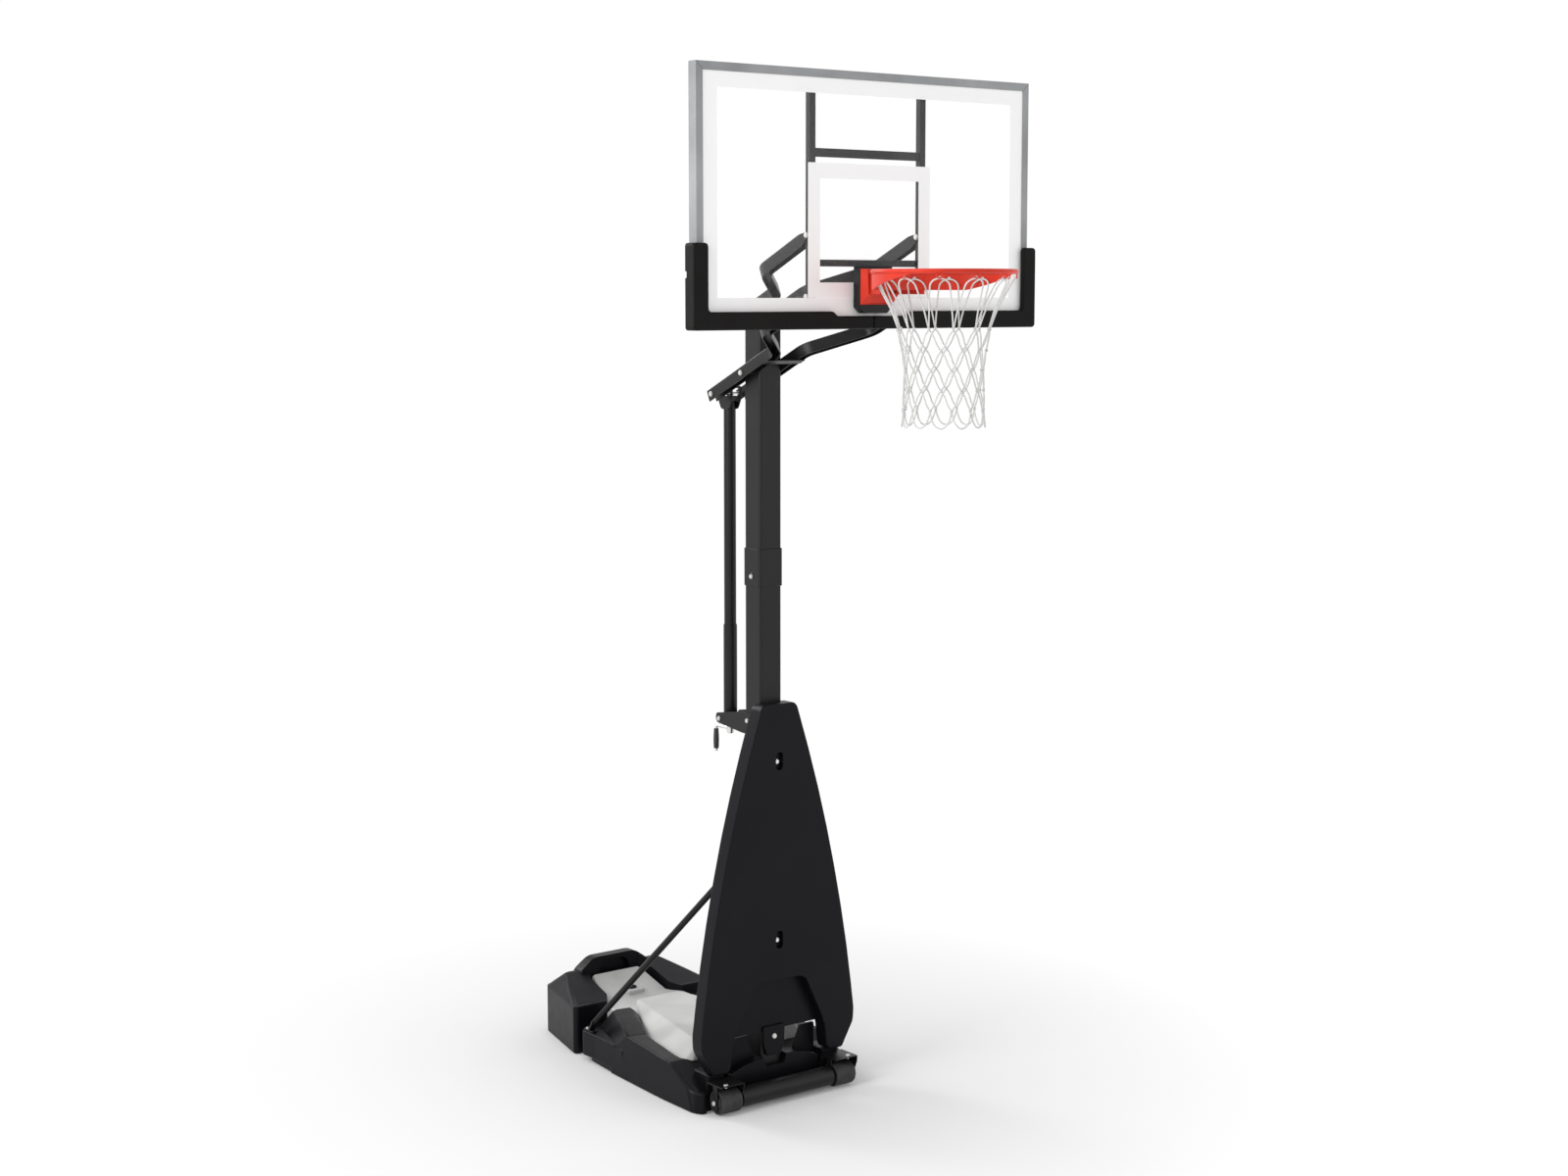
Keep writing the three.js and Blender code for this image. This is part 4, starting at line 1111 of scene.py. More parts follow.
class HOOP_OT_jack(bpy.types.Operator):
    """Telescopic screw jack on its bracket, with the slotted yoke that carries the arms' rear bolt"""

    bl_idname = "hoop.jack"
    bl_label = "Screw jack"

    def execute(self, context):
        bracket = eased(frame_copy("jack_cradle", "jack_bracket"), 0.001, 2)
        finished(bracket, "base", ["jack_bracket"], "black_metal")
        y = REAR_PIN.y
        centre = Vector((0, y, 0))
        low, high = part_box("jack_tube")
        radius = 0.0255
        wall = [
            (0.0232, 1.404), (radius, 1.404), (radius, high.z - 0.008), (radius - 0.0005, high.z - 0.0006),
            (0.0238, high.z), (0.0232, high.z - 0.0008),
        ]
        gearcase = [(0.0084, low.z), (0.0235, low.z), (0.0245, low.z + 0.001), (0.0245, 1.408), (0.0084, 1.408)]
        shapes = [lathe(wall, "Z", centre, 56), lathe(gearcase, "Z", centre, 56)]
        for side in (-1, 1):
            tip, root = side * high.x, side * 0.0235
            boss = [
                (PIVOT_HOLE, tip), (0.0095, tip), (0.01, tip - side * 0.0005), (0.01, root), (PIVOT_HOLE, root),
            ]
            shapes.append(lathe(boss, "X", Vector((0, y, JACK_PIVOT_Z)), 32))
        finished(joined("jack_sleeve", shapes), "jack_outer", ["jack_tube"], "black_metal")
        low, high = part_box("jack_rod")
        z = REAR_PIN.z
        inner_tube = [
            (0.0195, low.z), (0.0222, low.z), (0.0225, low.z + 0.0004),
            (0.0225, z - 0.032), (0.0215, z - 0.03), (0.0195, z - 0.03),
        ]
        plate = [
            (y - 0.044, z - 0.018), (y - 0.024, z - 0.058), (y + 0.024, z - 0.058), (y + 0.044, z - 0.018),
            (y + 0.044, high.z), (y - 0.044, high.z),
        ]
        slot = parted(rounded(rectangle(y - 0.035, y + 0.035, z - 0.009, high.z - 0.009), 0.0125))
        shapes = [
            lathe(inner_tube, "Z", centre, 56),
            rod(0.0215, "Z", centre, z - 0.06, z - 0.028, 56, 0.001),
        ]
        for x in (-0.02, 0.02):
            shapes.append(soft_prism(plate, "X", x - 0.0025, x + 0.0025, 0.0006, 0.012))
        yoke = joined("jack_yoke", shapes)
        cut_from(yoke, [prism(slot, "X", -0.04, -0.01), prism(slot, "X", 0.01, 0.04)])
        finished(yoke, "jack_inner", ["jack_rod"], "black_metal")
        return {"FINISHED"}


class HOOP_OT_crank(bpy.types.Operator):
    """Bent crank handle below the jack, with a turned grip that spins on it"""

    bl_idname = "hoop.crank"
    bl_label = "Crank and grip"

    def execute(self, context):
        y = REAR_PIN.y
        low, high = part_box("crank")
        grip = y + 0.092
        centre = Vector((0, y, 0))
        thread = [(0, high.z), (0.007, high.z)]
        step = 0.003
        level = high.z - 0.002
        while level > 1.5:
            thread += [(0.008, level), (0.0068, level - step / 2)]
            level -= step
        thread += [(0.0075, 1.49), (0.0075, 1.33), (0, 1.33)]
        knuckle = [(0, 1.332), (0.0125, 1.332), (0.014, 1.3335), (0.014, 1.3665), (0.0125, 1.368), (0, 1.368)]
        bend, reach = 0.016, 1.349
        arm = [Vector((0, y + 0.004, reach)), Vector((0, grip - bend, reach))]
        for i in range(1, 9):
            turn = i / 8 * math.pi / 2
            arm.append(Vector((0, grip - bend + bend * math.sin(turn), reach - bend + bend * math.cos(turn))))
        arm.append(Vector((0, grip, 1.325)))
        spindle = [
            (0, low.z), (0.0062, low.z), (0.007, low.z + 0.0008), (0.007, 1.2552),
            (0.0062, 1.256), (0.0045, 1.256), (0.0045, 1.33), (0, 1.33),
        ]
        handle = joined("crank_handle", [
            lathe(thread[::-1], "Z", centre, 32),
            lathe(knuckle, "Z", centre, 40),
            sweep(arm, 0.006, 20),
            lathe(spindle, "Z", Vector((0, grip, 0)), 32),
        ])
        finished(handle, "crank_body", ["crank"], "zinc")
        low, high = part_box("crank_grip")
        bottom = low.z
        profile = [(0.005, bottom), (0.0082, bottom), (0.0092, bottom + 0.001)]
        for i in range(25):
            share = i / 24
            barrel = 0.0093 + 0.0016 * math.sin(math.pi * min(1, share * 1.15)) ** 0.7
            groove = 0.0004 if i % 2 and 3 < i < 21 else 0.0
            profile.append((barrel - groove, bottom + 0.003 + share * (high.z - bottom - 0.006)))
        profile += [(0.0082, high.z - 0.0008), (0.0074, high.z), (0.005, high.z)]
        sleeve = as_object("crank_sleeve", lathe(profile, "Z", Vector((0, grip, 0)), 40))
        finished(sleeve, "grip", ["crank_grip"], "rubber")
        return {"FINISHED"}


# ---------------------------------------------------------------- lift arms


ARM_RUN = middle("board_bolt_lower_left") - middle("pole_bolt_lower")
ARM_SLOPE = math.atan2(ARM_RUN.z, -ARM_RUN.y)
ARM_LENGTH = math.hypot(ARM_RUN.y, ARM_RUN.z)
ARM_ALONG = Vector((0, -math.cos(ARM_SLOPE), math.sin(ARM_SLOPE)))
ARM_UP = Vector((0, math.sin(ARM_SLOPE), math.cos(ARM_SLOPE)))


def bent_path(points, radius, steps=8):
    """A line through points, bent to a radius at each of its inner corners."""
    path = [points[0]]
    for i in range(1, len(points) - 1):
        here = Vector(points[i])
        enter = here + (Vector(points[i - 1]) - here).normalized() * radius
        leave = here + (Vector(points[i + 1]) - here).normalized() * radius
        path += curve(enter, here, leave, steps)
    return path + [points[-1]]


def channel(path, section):
    """A folded section carried along a path in the plane of the arm."""
    shape = bmesh.new()
    rows = []
    count = len(path)
    for i in range(count):
        here = Vector(path[i])
        before = (here - Vector(path[i - 1])).normalized() if i > 0 else None
        after = (Vector(path[i + 1]) - here).normalized() if i < count - 1 else None
        way = ((before or after) + (after or before)).normalized()
        stretch = 1 / way.dot(before or after)
        side = Vector((-way.y, way.x)) * stretch
        rows.append([
            shape.verts.new(Vector((here.x + side.x * u, here.y + side.y * u, v))) for u, v in section
        ])
    return skinned(shape, rows)


class HOOP_OT_arms(bpy.types.Operator):
    """Four folded lift arms that splay out to the board, and the plate across the lower pair"""

    bl_idname = "hoop.arms"
    bl_label = "Lift arms"

    def arm(self, name, side, rear, pivot):
        """One arm on its side; rear is how far it runs on behind its pivot."""
        half, rise, wall, fold = 0.017, 0.022, 0.003, 0.005
        inside = middle("rear_bolt").x
        start = side * 0.0665 + inside
        out = middle("upright_left").x * -side
        path = bent_path([(-rear, start), (0.205, start), (0.385, out), (ARM_LENGTH + 0.014, out)], 0.03)
        section = [
            (-half, -rise), (-half + wall, -rise), (-half + wall, rise - wall), (half - wall, rise - wall),
            (half - wall, -rise), (half, -rise), (half, rise - fold), (half - fold * 0.3, rise - fold * 0.3),
            (half - fold, rise), (-half + fold, rise), (-half + fold * 0.3, rise - fold * 0.3),
            (-half, rise - fold),
        ]
        thing = as_object(name, channel(path, section))
        nose = mm((-48, 22), (-6, 12), (5, 11), (10, 7), (12.4, 0), (40, 0), (40, 40), (-48, 40))
        upper = shifted(nose, ARM_LENGTH, 0)
        lower = [(s, -n) for s, n in upper]
        web = rectangle(ARM_LENGTH - 0.056, ARM_LENGTH + 0.05, 0.0185, 0.03)
        bolts = [0, ARM_LENGTH] + ([-0.2] if rear > 0.1 else [])
        cuts = [upper, lower] + [circle(PIVOT_HOLE, 24, (s, 0)) for s in bolts]
        cuts = [prism(outline, "Y", -0.4, 0.4) for outline in cuts]
        cuts.insert(2, prism(web, "Y", out - 0.0139, out + 0.0139))
        cut_from(thing, cuts)
        eased(thing, sizes().metal_edge * 0.5, 2, 50)
        place = Matrix((
            (0, 1, 0, 0),
            (ARM_ALONG.y, 0, ARM_UP.y, pivot.y),
            (ARM_ALONG.z, 0, ARM_UP.z, pivot.z),
            (0, 0, 0, 1),
        ))
        thing.data.transform(place)
        if place.determinant() < 0:
            thing.data.flip_normals()
        return thing

    def execute(self, context):
        for label, side in (("left", -1), ("right", 1)):
            lower = self.arm(f"lift_arm_lower_{label}", side, 0.222, middle("pole_bolt_lower"))
            finished(lower, "lower_arms", [f"lower_arm_{label}"], "black_metal")
            upper = self.arm(f"lift_arm_upper_{label}", side, 0.024, middle("pole_bolt_upper"))
            finished(upper, "upper_arms", [f"upper_arm_{label}"], "black_metal")
        plate = eased(frame_copy("arm_tie_plate", "cross_plate"), 0.0012, 2)
        finished(plate, "lower_arms", ["cross_plate"], "black_metal")
        return {"FINISHED"}


# ---------------------------------------------------------------- backboard


class HOOP_OT_board_frame(bpy.types.Operator):
    """Mitred grey rails round the board, and the uprights and bars behind it"""

    bl_idname = "hoop.board_frame"
    bl_label = "Board frame"

    def execute(self, context):
        for edge in ("top", "bottom", "left", "right"):
            rail = eased(frame_copy(f"rail_{edge}", f"frame_{edge}"), sizes().metal_edge, 3)
            finished(rail, "board", [f"frame_{edge}"], "frame_metal")
        for label in ("left", "right"):
            low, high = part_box(f"upright_{label}")
            centre = (low + high) / 2
            tube = square_tube(
                f"stile_{label}", high.x - low.x, 0.002, 0.004, low.z, high.z, centre.x, centre.y, 0.0005,
            )
            for part in ("lower", "upper"):
                spot = (centre.y, middle(f"board_bolt_{part}_{label}").z)
                cut_from(tube, [prism(circle(PIVOT_HOLE, 20, spot), "X", -0.4, 0.4)])
            finished(tube, "board", [f"upright_{label}"], "black_metal")
        for part in ("upper", "lower"):
            bar = eased(frame_copy(f"cross_rail_{part}", f"crossbar_{part}"), 0.0022, 3)
            finished(bar, "board", [f"crossbar_{part}"], "black_metal")
        return {"FINISHED"}


def flat_frame(name, outer, inner, front, back):
    """A thin flat band between two outlines."""
    thing = as_object(name, prism(outer, "Y", front, back))
    return cut_from(thing, [prism(inner, "Y", front - 0.01, back + 0.01)])


class HOOP_OT_board_sheet(bpy.types.Operator):
    """Clear acrylic sheet with its printed white border and target square"""

    bl_idname = "hoop.board_sheet"
    bl_label = "Sheet and print"

    def execute(self, context):
        low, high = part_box("backboard_sheet")
        outline = rectangle(low.x, high.x, low.z, high.z)
        sheet = as_object("clear_panel", soft_prism(outline, "Y", low.y, high.y, 0.0006, 0.001, 2))
        finished(sheet, "board", ["backboard_sheet"], "clear_sheet")
        front = low.y - 0.00028
        back = low.y - 0.00006
        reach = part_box("frame_right")[1].x - 0.021
        border = sizes().border_width
        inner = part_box("frame_right")[1].x - 0.028 - border
        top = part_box("frame_top")[1].z
        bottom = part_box("frame_bottom")[0].z
        outer = rectangle(-reach, reach, bottom + 0.021, top - 0.021)
        hole = rounded(rectangle(-inner, inner, 2.954, top - 0.028 - border + 0.006), 0.004)
        band = flat_frame("printed_border", outer, hole, front, back)
        finished(band, "board", [], "clear_sheet", "white_print")
        line = sizes().square_line
        half, bottom, top = 0.267, 2.9545, 3.402
        outer = rounded(rectangle(-half, half, bottom, top), 0.003)
        hole = rounded(rectangle(-half + line, half - line, bottom + line, top - line), 0.003)
        target = flat_frame("printed_target", outer, hole, front, back)
        finished(target, "board", [], "clear_sheet", "white_print")
        return {"FINISHED"}


class HOOP_OT_pad(bpy.types.Operator):
    """Moulded foam pad in two halves, wrapped round the board's bottom and lower corners"""

    bl_idname = "hoop.pad"
    bl_label = "Board pad"

    def half(self, label, side):
        low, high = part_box(f"board_pad_{label}")
        bottom, top, front, back = low.z, high.z, low.y, high.y
        reach, inner, seam = 0.75, 0.69, 0.0004
        face = [
            (seam, bottom), (reach, bottom), (reach, top), (inner, top),
            (inner, 2.909), (0.172, 2.909), (0.156, 2.893), (seam, 2.893),
        ]
        wrap = [
            (seam, bottom), (reach, bottom), (reach, top),
            (BOARD_HALF, top), (BOARD_HALF, BOARD_FOOT), (seam, BOARD_FOOT),
        ]
        face = [(side * x, z) for x, z in face]
        wrap = [(side * x, z) for x, z in wrap]
        thing = joined(f"pad_{label}", [
            soft_prism(face, "Y", front, BOARD_FACE, 0.0075, 0.0148, 5),
            soft_prism(wrap, "Y", -0.624, back, 0.006, 0.0122, 4),
        ])
        notch = (side * 0.758 - 0.015, side * 0.758 + 0.015)
        cut_from(thing, [
            block((notch[0], -0.592, 3.018), (notch[1], -0.57, 3.04), 0.003),
            block((-0.079, front - 0.005, 2.899), (0.079, -0.61, 2.94), 0.003),
            prism(rectangle(-BOARD_HALF, BOARD_HALF, BOARD_FOOT, 3.709), "Y", BOARD_FACE, -0.56),
        ])
        finished(thing, "board", [f"board_pad_{label}"], "board_pad")

    def execute(self, context):
        self.half("left", -1)
        self.half("right", 1)
        return {"FINISHED"}


# ---------------------------------------------------------------- rim and net


def ring_directions(turn):
    """The way out from the ring's centre, and the way along the ring."""
    radial = Vector((math.cos(turn), math.sin(turn), 0))
    return radial, Vector((-radial.y, radial.x, 0))


def ring_point(turn, reach=RING_RADIUS, height=RING_CENTRE.z):
    return Vector((reach * math.cos(turn), RING_CENTRE.y + reach * math.sin(turn), height))


def brace_band():
    """The curved plate under the back of the ring, scooped away towards both ends."""
    shape = bmesh.new()
    rows = []
    steps = 72
    top = RING_CENTRE.z - 0.002
    outside, inside, ease = 0.2385, 0.2345, 0.0006
    for i in range(steps + 1):
        turn = (-0.12 + 1.24 * i / steps) * math.pi
        y = RING_CENTRE.y + RING_RADIUS * math.sin(turn)
        share = min(1.0, max(0.0, (RING_CENTRE.y + 0.12 - y) / 0.21))
        bottom = 2.980 + 0.052 * share
        section = (
            (outside, bottom + ease), (outside, top), (inside, top), (inside, bottom + ease),
            (0.2350, bottom), (0.2380, bottom),
        )
        rows.append([shape.verts.new(ring_point(turn, reach, height)) for reach, height in section])
    return skinned(shape, rows)


def net_hook(turn):
    """A bent wire loop under the ring."""
    radius = 0.0085
    side = ring_directions(turn)[1]
    top = ring_point(turn, RING_RADIUS, RING_CENTRE.z - 0.006)
    path = []
    for i in range(13):
        swing = math.pi * i / 12
        path.append(top + side * radius * math.cos(swing) - Vector((0, 0, radius + radius * math.sin(swing))))
    path = [top + side * radius] + path + [top - side * radius]
    return sweep(path, 0.0021, 12)


class HOOP_OT_rim(bpy.types.Operator):
    """Red rim: ring, brace band, top plate and wings, with its spring box and faceted cover"""

    bl_idname = "hoop.rim"
    bl_label = "Rim"

    def execute(self, context):
        case = eased(frame_copy("spring_box", "rim_box"), 0.002, 3)
        finished(case, "board", ["rim_box"], "black_metal")
        cover = eased(frame_copy("spring_cover", "rim_cover"), 0.0022, 3, 18)
        finished(cover, "board", ["rim_cover"], "red_metal")
        steps = 144
        whole = [1.0] * steps
        bar = [ring_point(2 * math.pi * i / steps) for i in range(steps)]
        plate = mm((-62, -684.5), (62, -684.5), (110, -786), (74, -770), (0, -757), (-74, -770), (-110, -786))
        shapes = [
            sweep(bar, RING_BAR, 24, closed=True, flat=((0, 0, 1), whole, whole)),
            brace_band(),
            soft_prism(plate, "Z", 3.034, 3.040, 0.0008, 0.004, 2),
        ]
        for side in (-1, 1):
            wing = [
                (side * 0.056, RIM_BACK), (side * 0.060, RIM_BACK),
                (side * 0.098, -0.78), (side * 0.094, -0.78),
            ]
            shapes.append(soft_prism(wing, "Z", 2.966, 3.0396, 0.0007, 0.0009, 2))
        for i in range(12):
            shapes.append(net_hook((i + 0.5) * math.pi / 6))
        finished(as_object("ring_and_brace", gathered(shapes)), "rim", ["rim_ring"], "red_metal")
        return {"FINISHED"}


# The net's radius at some depths below the hooks, and the depths of its rows of knots.
NET_SHAPE = (
    (0.0, 0.229), (0.04, 0.208), (0.1, 0.176), (0.165, 0.153),
    (0.245, 0.135), (0.32, 0.130), (0.4, 0.133), (0.486, 0.137),
)
NET_TOP = RING_CENTRE.z - 0.0235
NET_ROWS = (0.0, 0.165, 0.232, 0.298, 0.364, 0.428)


def net_reach(drop):
    """The net's radius at a depth below the hooks."""
    for (d0, r0), (d1, r1) in zip(NET_SHAPE, NET_SHAPE[1:]):
        if drop <= d1:
            t = (drop - d0) / (d1 - d0)
            return r0 + (r1 - r0) * t
    return NET_SHAPE[-1][1]


class HOOP_OT_net(bpy.types.Operator):
    """Knotted cord net: one loop from each hook, then rows of diamonds and a row of free loops"""

    bl_idname = "hoop.net"
    bl_label = "Net"

    def knot_at(self, row, index, loops):
        """Where a knot sits: its turn round the ring, its depth and its radius."""
        shift = 0.5 if row % 2 == 0 else 0.0
        turn = (index + shift) * 2 * math.pi / loops
        drop = NET_ROWS[row]
        sway = 0.0015 * math.sin(index * 2.4 + row * 1.7)
        return turn, drop + sway * (row > 0), net_reach(drop) + sway * (row > 0)

    def strand(self, start, end):
        """The cord from one knot to the next, on the net's surface."""
        turn_a, drop_a, reach_a = start
        turn_b, drop_b, reach_b = end
        path = []
        steps = 12
        for i in range(steps + 1):
            t = i / steps
            drop = drop_a + (drop_b - drop_a) * t
            bulge = math.sin(math.pi * t)
            reach = reach_a + (reach_b - reach_a) * t
            reach = reach * 0.35 + net_reach(drop) * 0.65 + 0.0012 * bulge
            turn = turn_a + (turn_b - turn_a) * (t + 0.06 * math.sin(2 * math.pi * t))
            path.append(ring_point(turn, reach, NET_TOP - drop))
        return path

    def arch(self, start, end):
        """Half of a top loop: sideways off its hook, round a bend, then down to the first knot."""
        path = []
        for i in range(19):
            t = (i / 18) ** 2
            bend = 1 - min(1.0, t / 0.15)
            aside = 0.5 * math.sqrt(1 - bend * bend) + 0.5 * t
            drop = start[1] + (end[1] - start[1]) * t
            turn = start[0] + (end[0] - start[0]) * aside
            path.append(ring_point(turn, net_reach(drop), NET_TOP - drop))
        return path

    def execute(self, context):
        loops = sizes().net_loops
        thick = sizes().cord_radius
        random.seed(7)
        shapes = []
        for row in range(len(NET_ROWS) - 1):
            for index in range(loops):
                start = self.knot_at(row, index, loops)
                for way in (0, 1):
                    shift = way if row % 2 == 0 else way - 1
                    end = self.knot_at(row + 1, index + shift, loops)
                    path = self.strand(start, end) if row else self.arch(start, end)
                    shapes.append(sweep(path, thick, 10))
        last = len(NET_ROWS) - 1
        for index in range(loops):
            first = self.knot_at(last, index, loops)
            second = self.knot_at(last, index + 1, loops)
            path = []
            fall = NET_SHAPE[-1][0] - NET_ROWS[last]
            for i in range(19):
                t = i / 18
                drop = NET_ROWS[last] + (fall + 0.002 * random.uniform(-1, 0)) * math.sin(math.pi * t) ** 0.75
                turn = first[0] + (second[0] - first[0]) * (t - 0.05 * math.sin(2 * math.pi * t))
                path.append(ring_point(turn, net_reach(drop) + 0.001, NET_TOP - drop))
            shapes.append(sweep(path, thick, 10))
        for row in range(1, len(NET_ROWS)):
            for index in range(loops):
                turn, drop, reach = self.knot_at(row, index, loops)
                shapes += self.knot(turn, drop, reach, thick)
        for index in range(loops):
            turn, drop, reach = self.knot_at(0, index, loops)
            shapes.append(self.hitch(turn, reach, thick))
        net = as_object("cord_net", gathered(shapes))
        piece(net, "rim", ["net"], "net_cord", angle=180)
        return {"FINISHED"}

    def knot(self, turn, drop, reach, thick):
        """Two interlocked turns of cord where four strands meet."""
        centre = ring_point(turn, reach, NET_TOP - drop)
        radial, side = ring_directions(turn)
        up = Vector((0, 0, 1))
        turns = []
        for lean, height in ((0.9, 0.0022), (-0.9, -0.0022)):
            axis = (up + side * lean * 0.5).normalized()
            wide = axis.cross(radial).normalized()
            ring = []
            for i in range(14):
                swing = 2 * math.pi * i / 14
                ring.append(
                    centre + up * height
                    + wide * math.cos(swing) * thick * 1.55 + radial * math.sin(swing) * thick * 1.15
                )
            turns.append(sweep(ring, thick * 0.92, 8, closed=True))
        return turns

    def hitch(self, turn, reach, thick):
        """The loop of cord that lies over a hook."""
        radial, side = ring_directions(turn)
        centre = ring_point(turn, reach, NET_TOP + 0.001)
        path = []
        for i in range(13):
            swing = math.pi * i / 12
            rise = Vector((0, 0, 0.0045 * math.sin(swing)))
            path.append(centre + side * 0.004 * math.cos(swing) + radial * 0.001 + rise)
        return sweep(path, thick * 0.95, 8)


# ---------------------------------------------------------------- bolts and pins


# Which ends of a bolt carry a head: the end at the low side of its axis, and the end at the high side.
LOW_END, HIGH_END, BOTH_ENDS = (True, False), (False, True), (True, True)
BOLTS = (
    ("bracket_bolt_left", "Z", HIGH_END, "base"),
    ("bracket_bolt_right", "Z", HIGH_END, "base"),
    ("cover_bolt_upper", "Y", LOW_END, "base"),
    ("cover_bolt_lower", "Y", LOW_END, "base"),
    ("cover_bolt_foot", "Y", LOW_END, "base"),
    ("collar_bolt", "X", BOTH_ENDS, "base"),
    ("strut_bolt_left", "Z", HIGH_END, "base"),
    ("strut_bolt_right", "Z", HIGH_END, "base"),
    ("strut_head_bolt", "X", BOTH_ENDS, "base"),
    ("bracket_bolt_upper", "X", BOTH_ENDS, "base"),
    ("jack_pin_left", "X", LOW_END, "base"),
    ("jack_pin_right", "X", HIGH_END, "base"),
    ("pole_bolt_lower", "X", BOTH_ENDS, "base"),
    ("pole_bolt_upper", "X", BOTH_ENDS, "base"),
    ("rear_bolt", "X", BOTH_ENDS, "lower_arms"),
    ("board_bolt_lower_left", "X", BOTH_ENDS, "board"),
    ("board_bolt_lower_right", "X", BOTH_ENDS, "board"),
    ("board_bolt_upper_left", "X", BOTH_ENDS, "board"),
    ("board_bolt_upper_right", "X", BOTH_ENDS, "board"),
)


class HOOP_OT_bolts(bpy.types.Operator):
    """Zinc-plated hexagon bolts and pins with washers"""

    bl_idname = "hoop.bolts"
    bl_label = "Bolts and pins"

    def execute(self, context):
        for node, axis, heads, body in BOLTS:
            finished(hex_bolt(node, axis, heads), body, [node], "zinc")
        return {"FINISHED"}


# ---------------------------------------------------------------- stage


def soft_box(name, place, target, size, power):
    """A soft rectangular lamp that faces a target."""
    lamp = bpy.data.lights.new(name, "AREA")
    lamp.shape = "RECTANGLE"
    lamp.size, lamp.size_y = size
    lamp.energy = power
    holder = bpy.data.objects.new(name, lamp)
    holder.location = place
    holder.rotation_euler = (Vector(target) - Vector(place)).to_track_quat("-Z", "Y").to_euler()
    bpy.context.scene.collection.objects.link(holder)


def studio_bowl():
    """A flat floor that curves up into a round wall far away."""
    flat, bend, wall, thick = 20.0, 5.0, 30.0, 0.2
    steps = 16
    profile = [(0.0, 0.0), (flat, 0.0)]
    for i in range(1, steps + 1):
        turn = i / steps * math.pi / 2
        profile.append((flat + bend * math.sin(turn), bend - bend * math.cos(turn)))
    rim = flat + bend
    profile += [(rim, wall), (rim + thick, wall), (rim + thick, -thick), (0.0, -thick)]
    floor = as_object("studio_floor", lathe(profile, "Z", (0, 0, -0.0006), 64))
    return shaded(floor, 40)


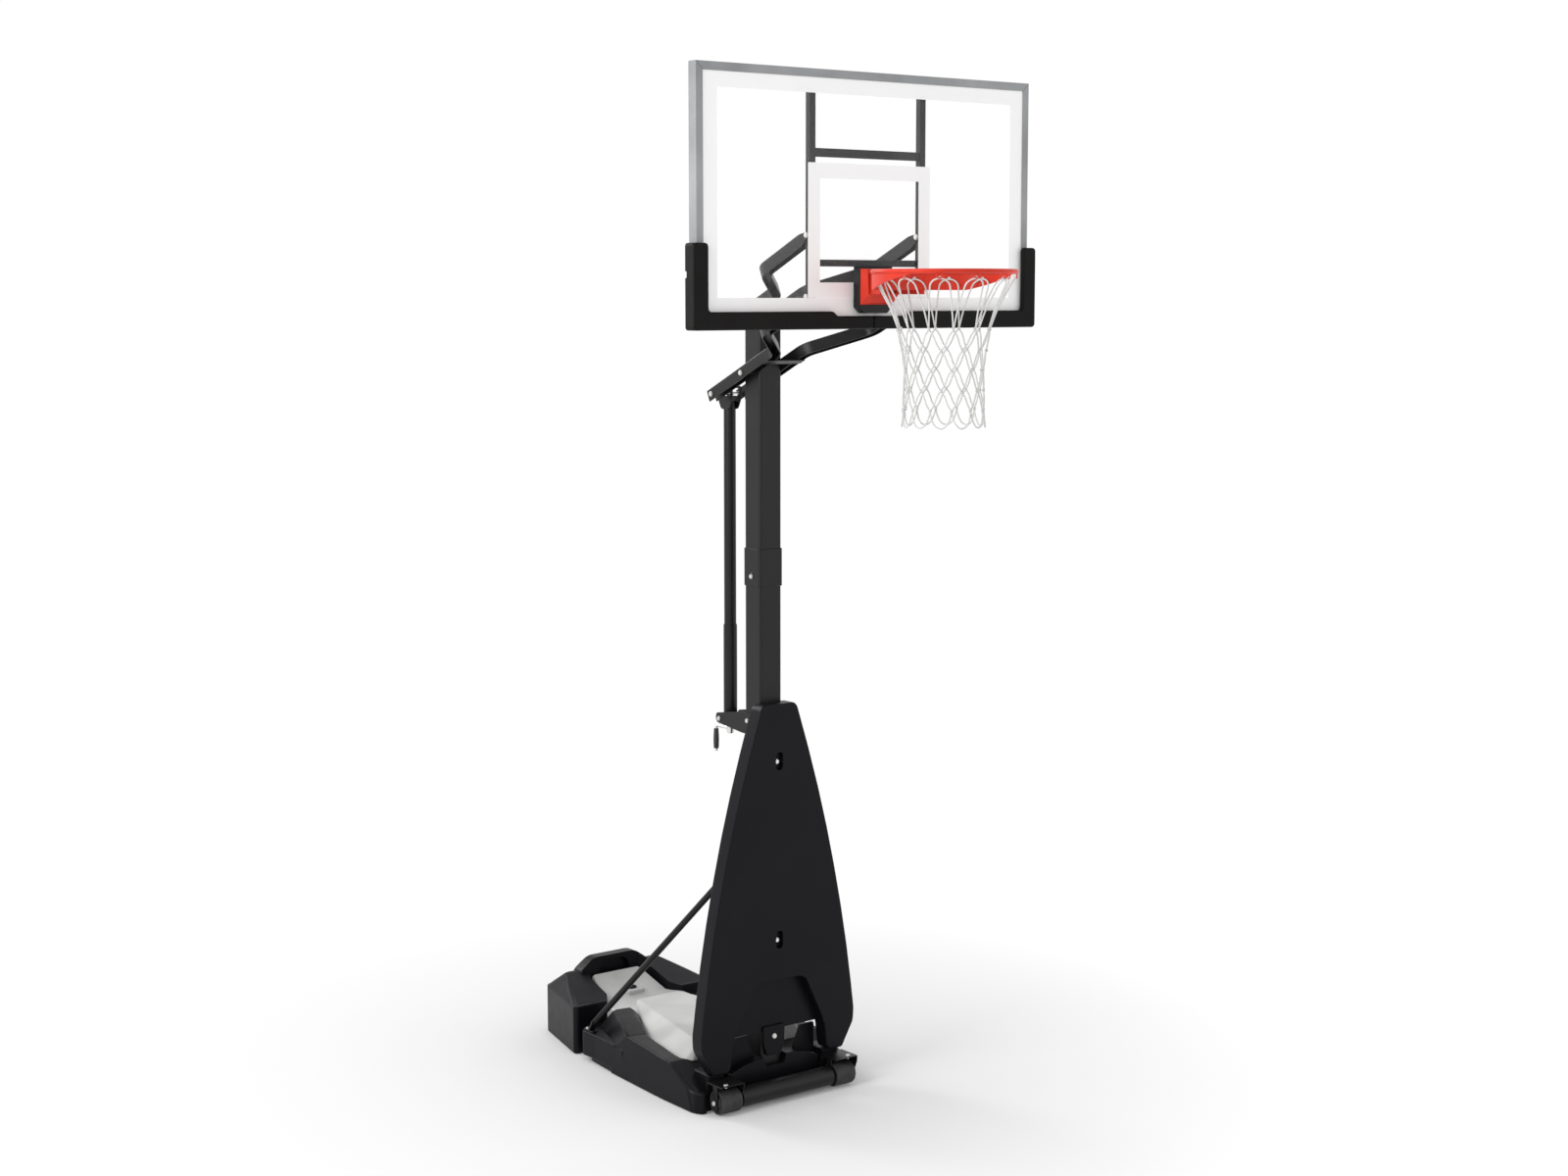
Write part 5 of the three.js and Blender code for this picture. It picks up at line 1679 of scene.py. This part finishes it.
class HOOP_OT_stage(bpy.types.Operator):
    """Camera, pale floor with a painted shadow round the hoop, and soft lights"""

    bl_idname = "hoop.stage"
    bl_label = "Stage"

    def execute(self, context):
        scene = context.scene
        lens = bpy.data.cameras.new("camera")
        lens.sensor_width = 36.0
        lens.lens = 55.59
        lens.clip_end = 200.0
        camera = bpy.data.objects.new("camera", lens)
        camera.location = (-5.2828, -7.0362, 2.9661)
        camera.rotation_euler = (math.radians(90 - 6.917), 0.0, math.radians(-37.397))
        scene.collection.objects.link(camera)
        scene.camera = camera
        floor = studio_bowl()
        finish = Finish("studio_paper", {
            "Roughness": 0.95, "Specular IOR Level": 0.0, "Emission Strength": 1.0,
        })
        tone = finish.noise(0.6, 2.0)
        # Painted shadow: within 0.5 m of the hoop the floor is a flat grey with no glow of its own. By 2.3 m it
        # fades into a dark floor that glows evenly white, so a grey pool of shade lies round the base.
        near = finish.mix(tone, (0.68, 0.68, 0.68), (0.70, 0.70, 0.70))
        sockets = {0: finish.place, 1: (0.0, 0.5, 0.0)}
        reach = finish.node("ShaderNodeVectorMath", {"operation": "DISTANCE"}, sockets).outputs["Value"]
        far = finish.between(Value(finish, reach), 0.5, 2.3)
        finish.feed(finish.shader.inputs["Base Color"], finish.mix(far, near, (0.03, 0.03, 0.03)))
        finish.feed(finish.shader.inputs["Emission Color"], finish.mix(far, (0, 0, 0), (0.98, 0.98, 0.98)))
        finish.material.cycles.emission_sampling = "NONE"
        floor.data.materials.append(finish.material)
        soft_box("key_light", (-6.5, -0.5, 4.5), (0, 0, 1.8), (3.0, 4.0), 270)
        soft_box("top_light", (0.0, 0.5, 8.0), (0, 0.2, 0), (3.0, 3.0), 110)
        soft_box("back_light", (-2.5, 7.0, 5.5), (0, 0.2, 1.2), (2.0, 3.0), 230)
        soft_box("fill_light", (3.5, -8.5, 3.0), (0, 0, 1.6), (3.0, 3.0), 40)
        world = bpy.data.worlds.new("studio_air")
        world.use_nodes = True
        world.node_tree.nodes["Background"].inputs["Color"].default_value = (1, 1, 1, 1)
        world.node_tree.nodes["Background"].inputs["Strength"].default_value = 0.22
        scene.world = world
        scene.view_settings.view_transform = "Standard"
        return {"FINISHED"}


# ---------------------------------------------------------------- sidebar and running


OPERATORS = (
    HOOP_OT_stage, HOOP_OT_base, HOOP_OT_tank, HOOP_OT_filler, HOOP_OT_rollers, HOOP_OT_cover, HOOP_OT_pole,
    HOOP_OT_struts, HOOP_OT_jack, HOOP_OT_crank, HOOP_OT_arms, HOOP_OT_board_frame, HOOP_OT_board_sheet,
    HOOP_OT_pad, HOOP_OT_rim, HOOP_OT_net, HOOP_OT_bolts,
)


class HOOP_PT_sidebar(bpy.types.Panel):
    """Lists the hoop's sizes, colours and pieces"""

    bl_idname = "HOOP_PT_sidebar"
    bl_label = "Basketball Hoop"
    bl_space_type = "VIEW_3D"
    bl_region_type = "UI"
    bl_category = "Hoop"

    def draw(self, context):
        layout = self.layout
        for group in (context.scene.hoop_sizes, context.scene.hoop_colours):
            column = layout.column()
            for key in group.bl_rna.properties.keys():
                if key not in ("rna_type", "name"):
                    column.prop(group, key)
        for operator in OPERATORS:
            layout.operator(operator.bl_idname)


CLASSES = (HoopSizes, HoopColours, *OPERATORS, HOOP_PT_sidebar)


def register():
    for made in CLASSES:
        bpy.utils.register_class(made)
    bpy.types.Scene.hoop_sizes = bpy.props.PointerProperty(type=HoopSizes)
    bpy.types.Scene.hoop_colours = bpy.props.PointerProperty(type=HoopColours)


def unregister():
    del bpy.types.Scene.hoop_colours
    del bpy.types.Scene.hoop_sizes
    for made in reversed(CLASSES):
        bpy.utils.unregister_class(made)


def main():
    register()
    for operator in OPERATORS:
        group, action = operator.bl_idname.split(".")
        getattr(getattr(bpy.ops, group), action)()


if __name__ == "__main__":
    main()
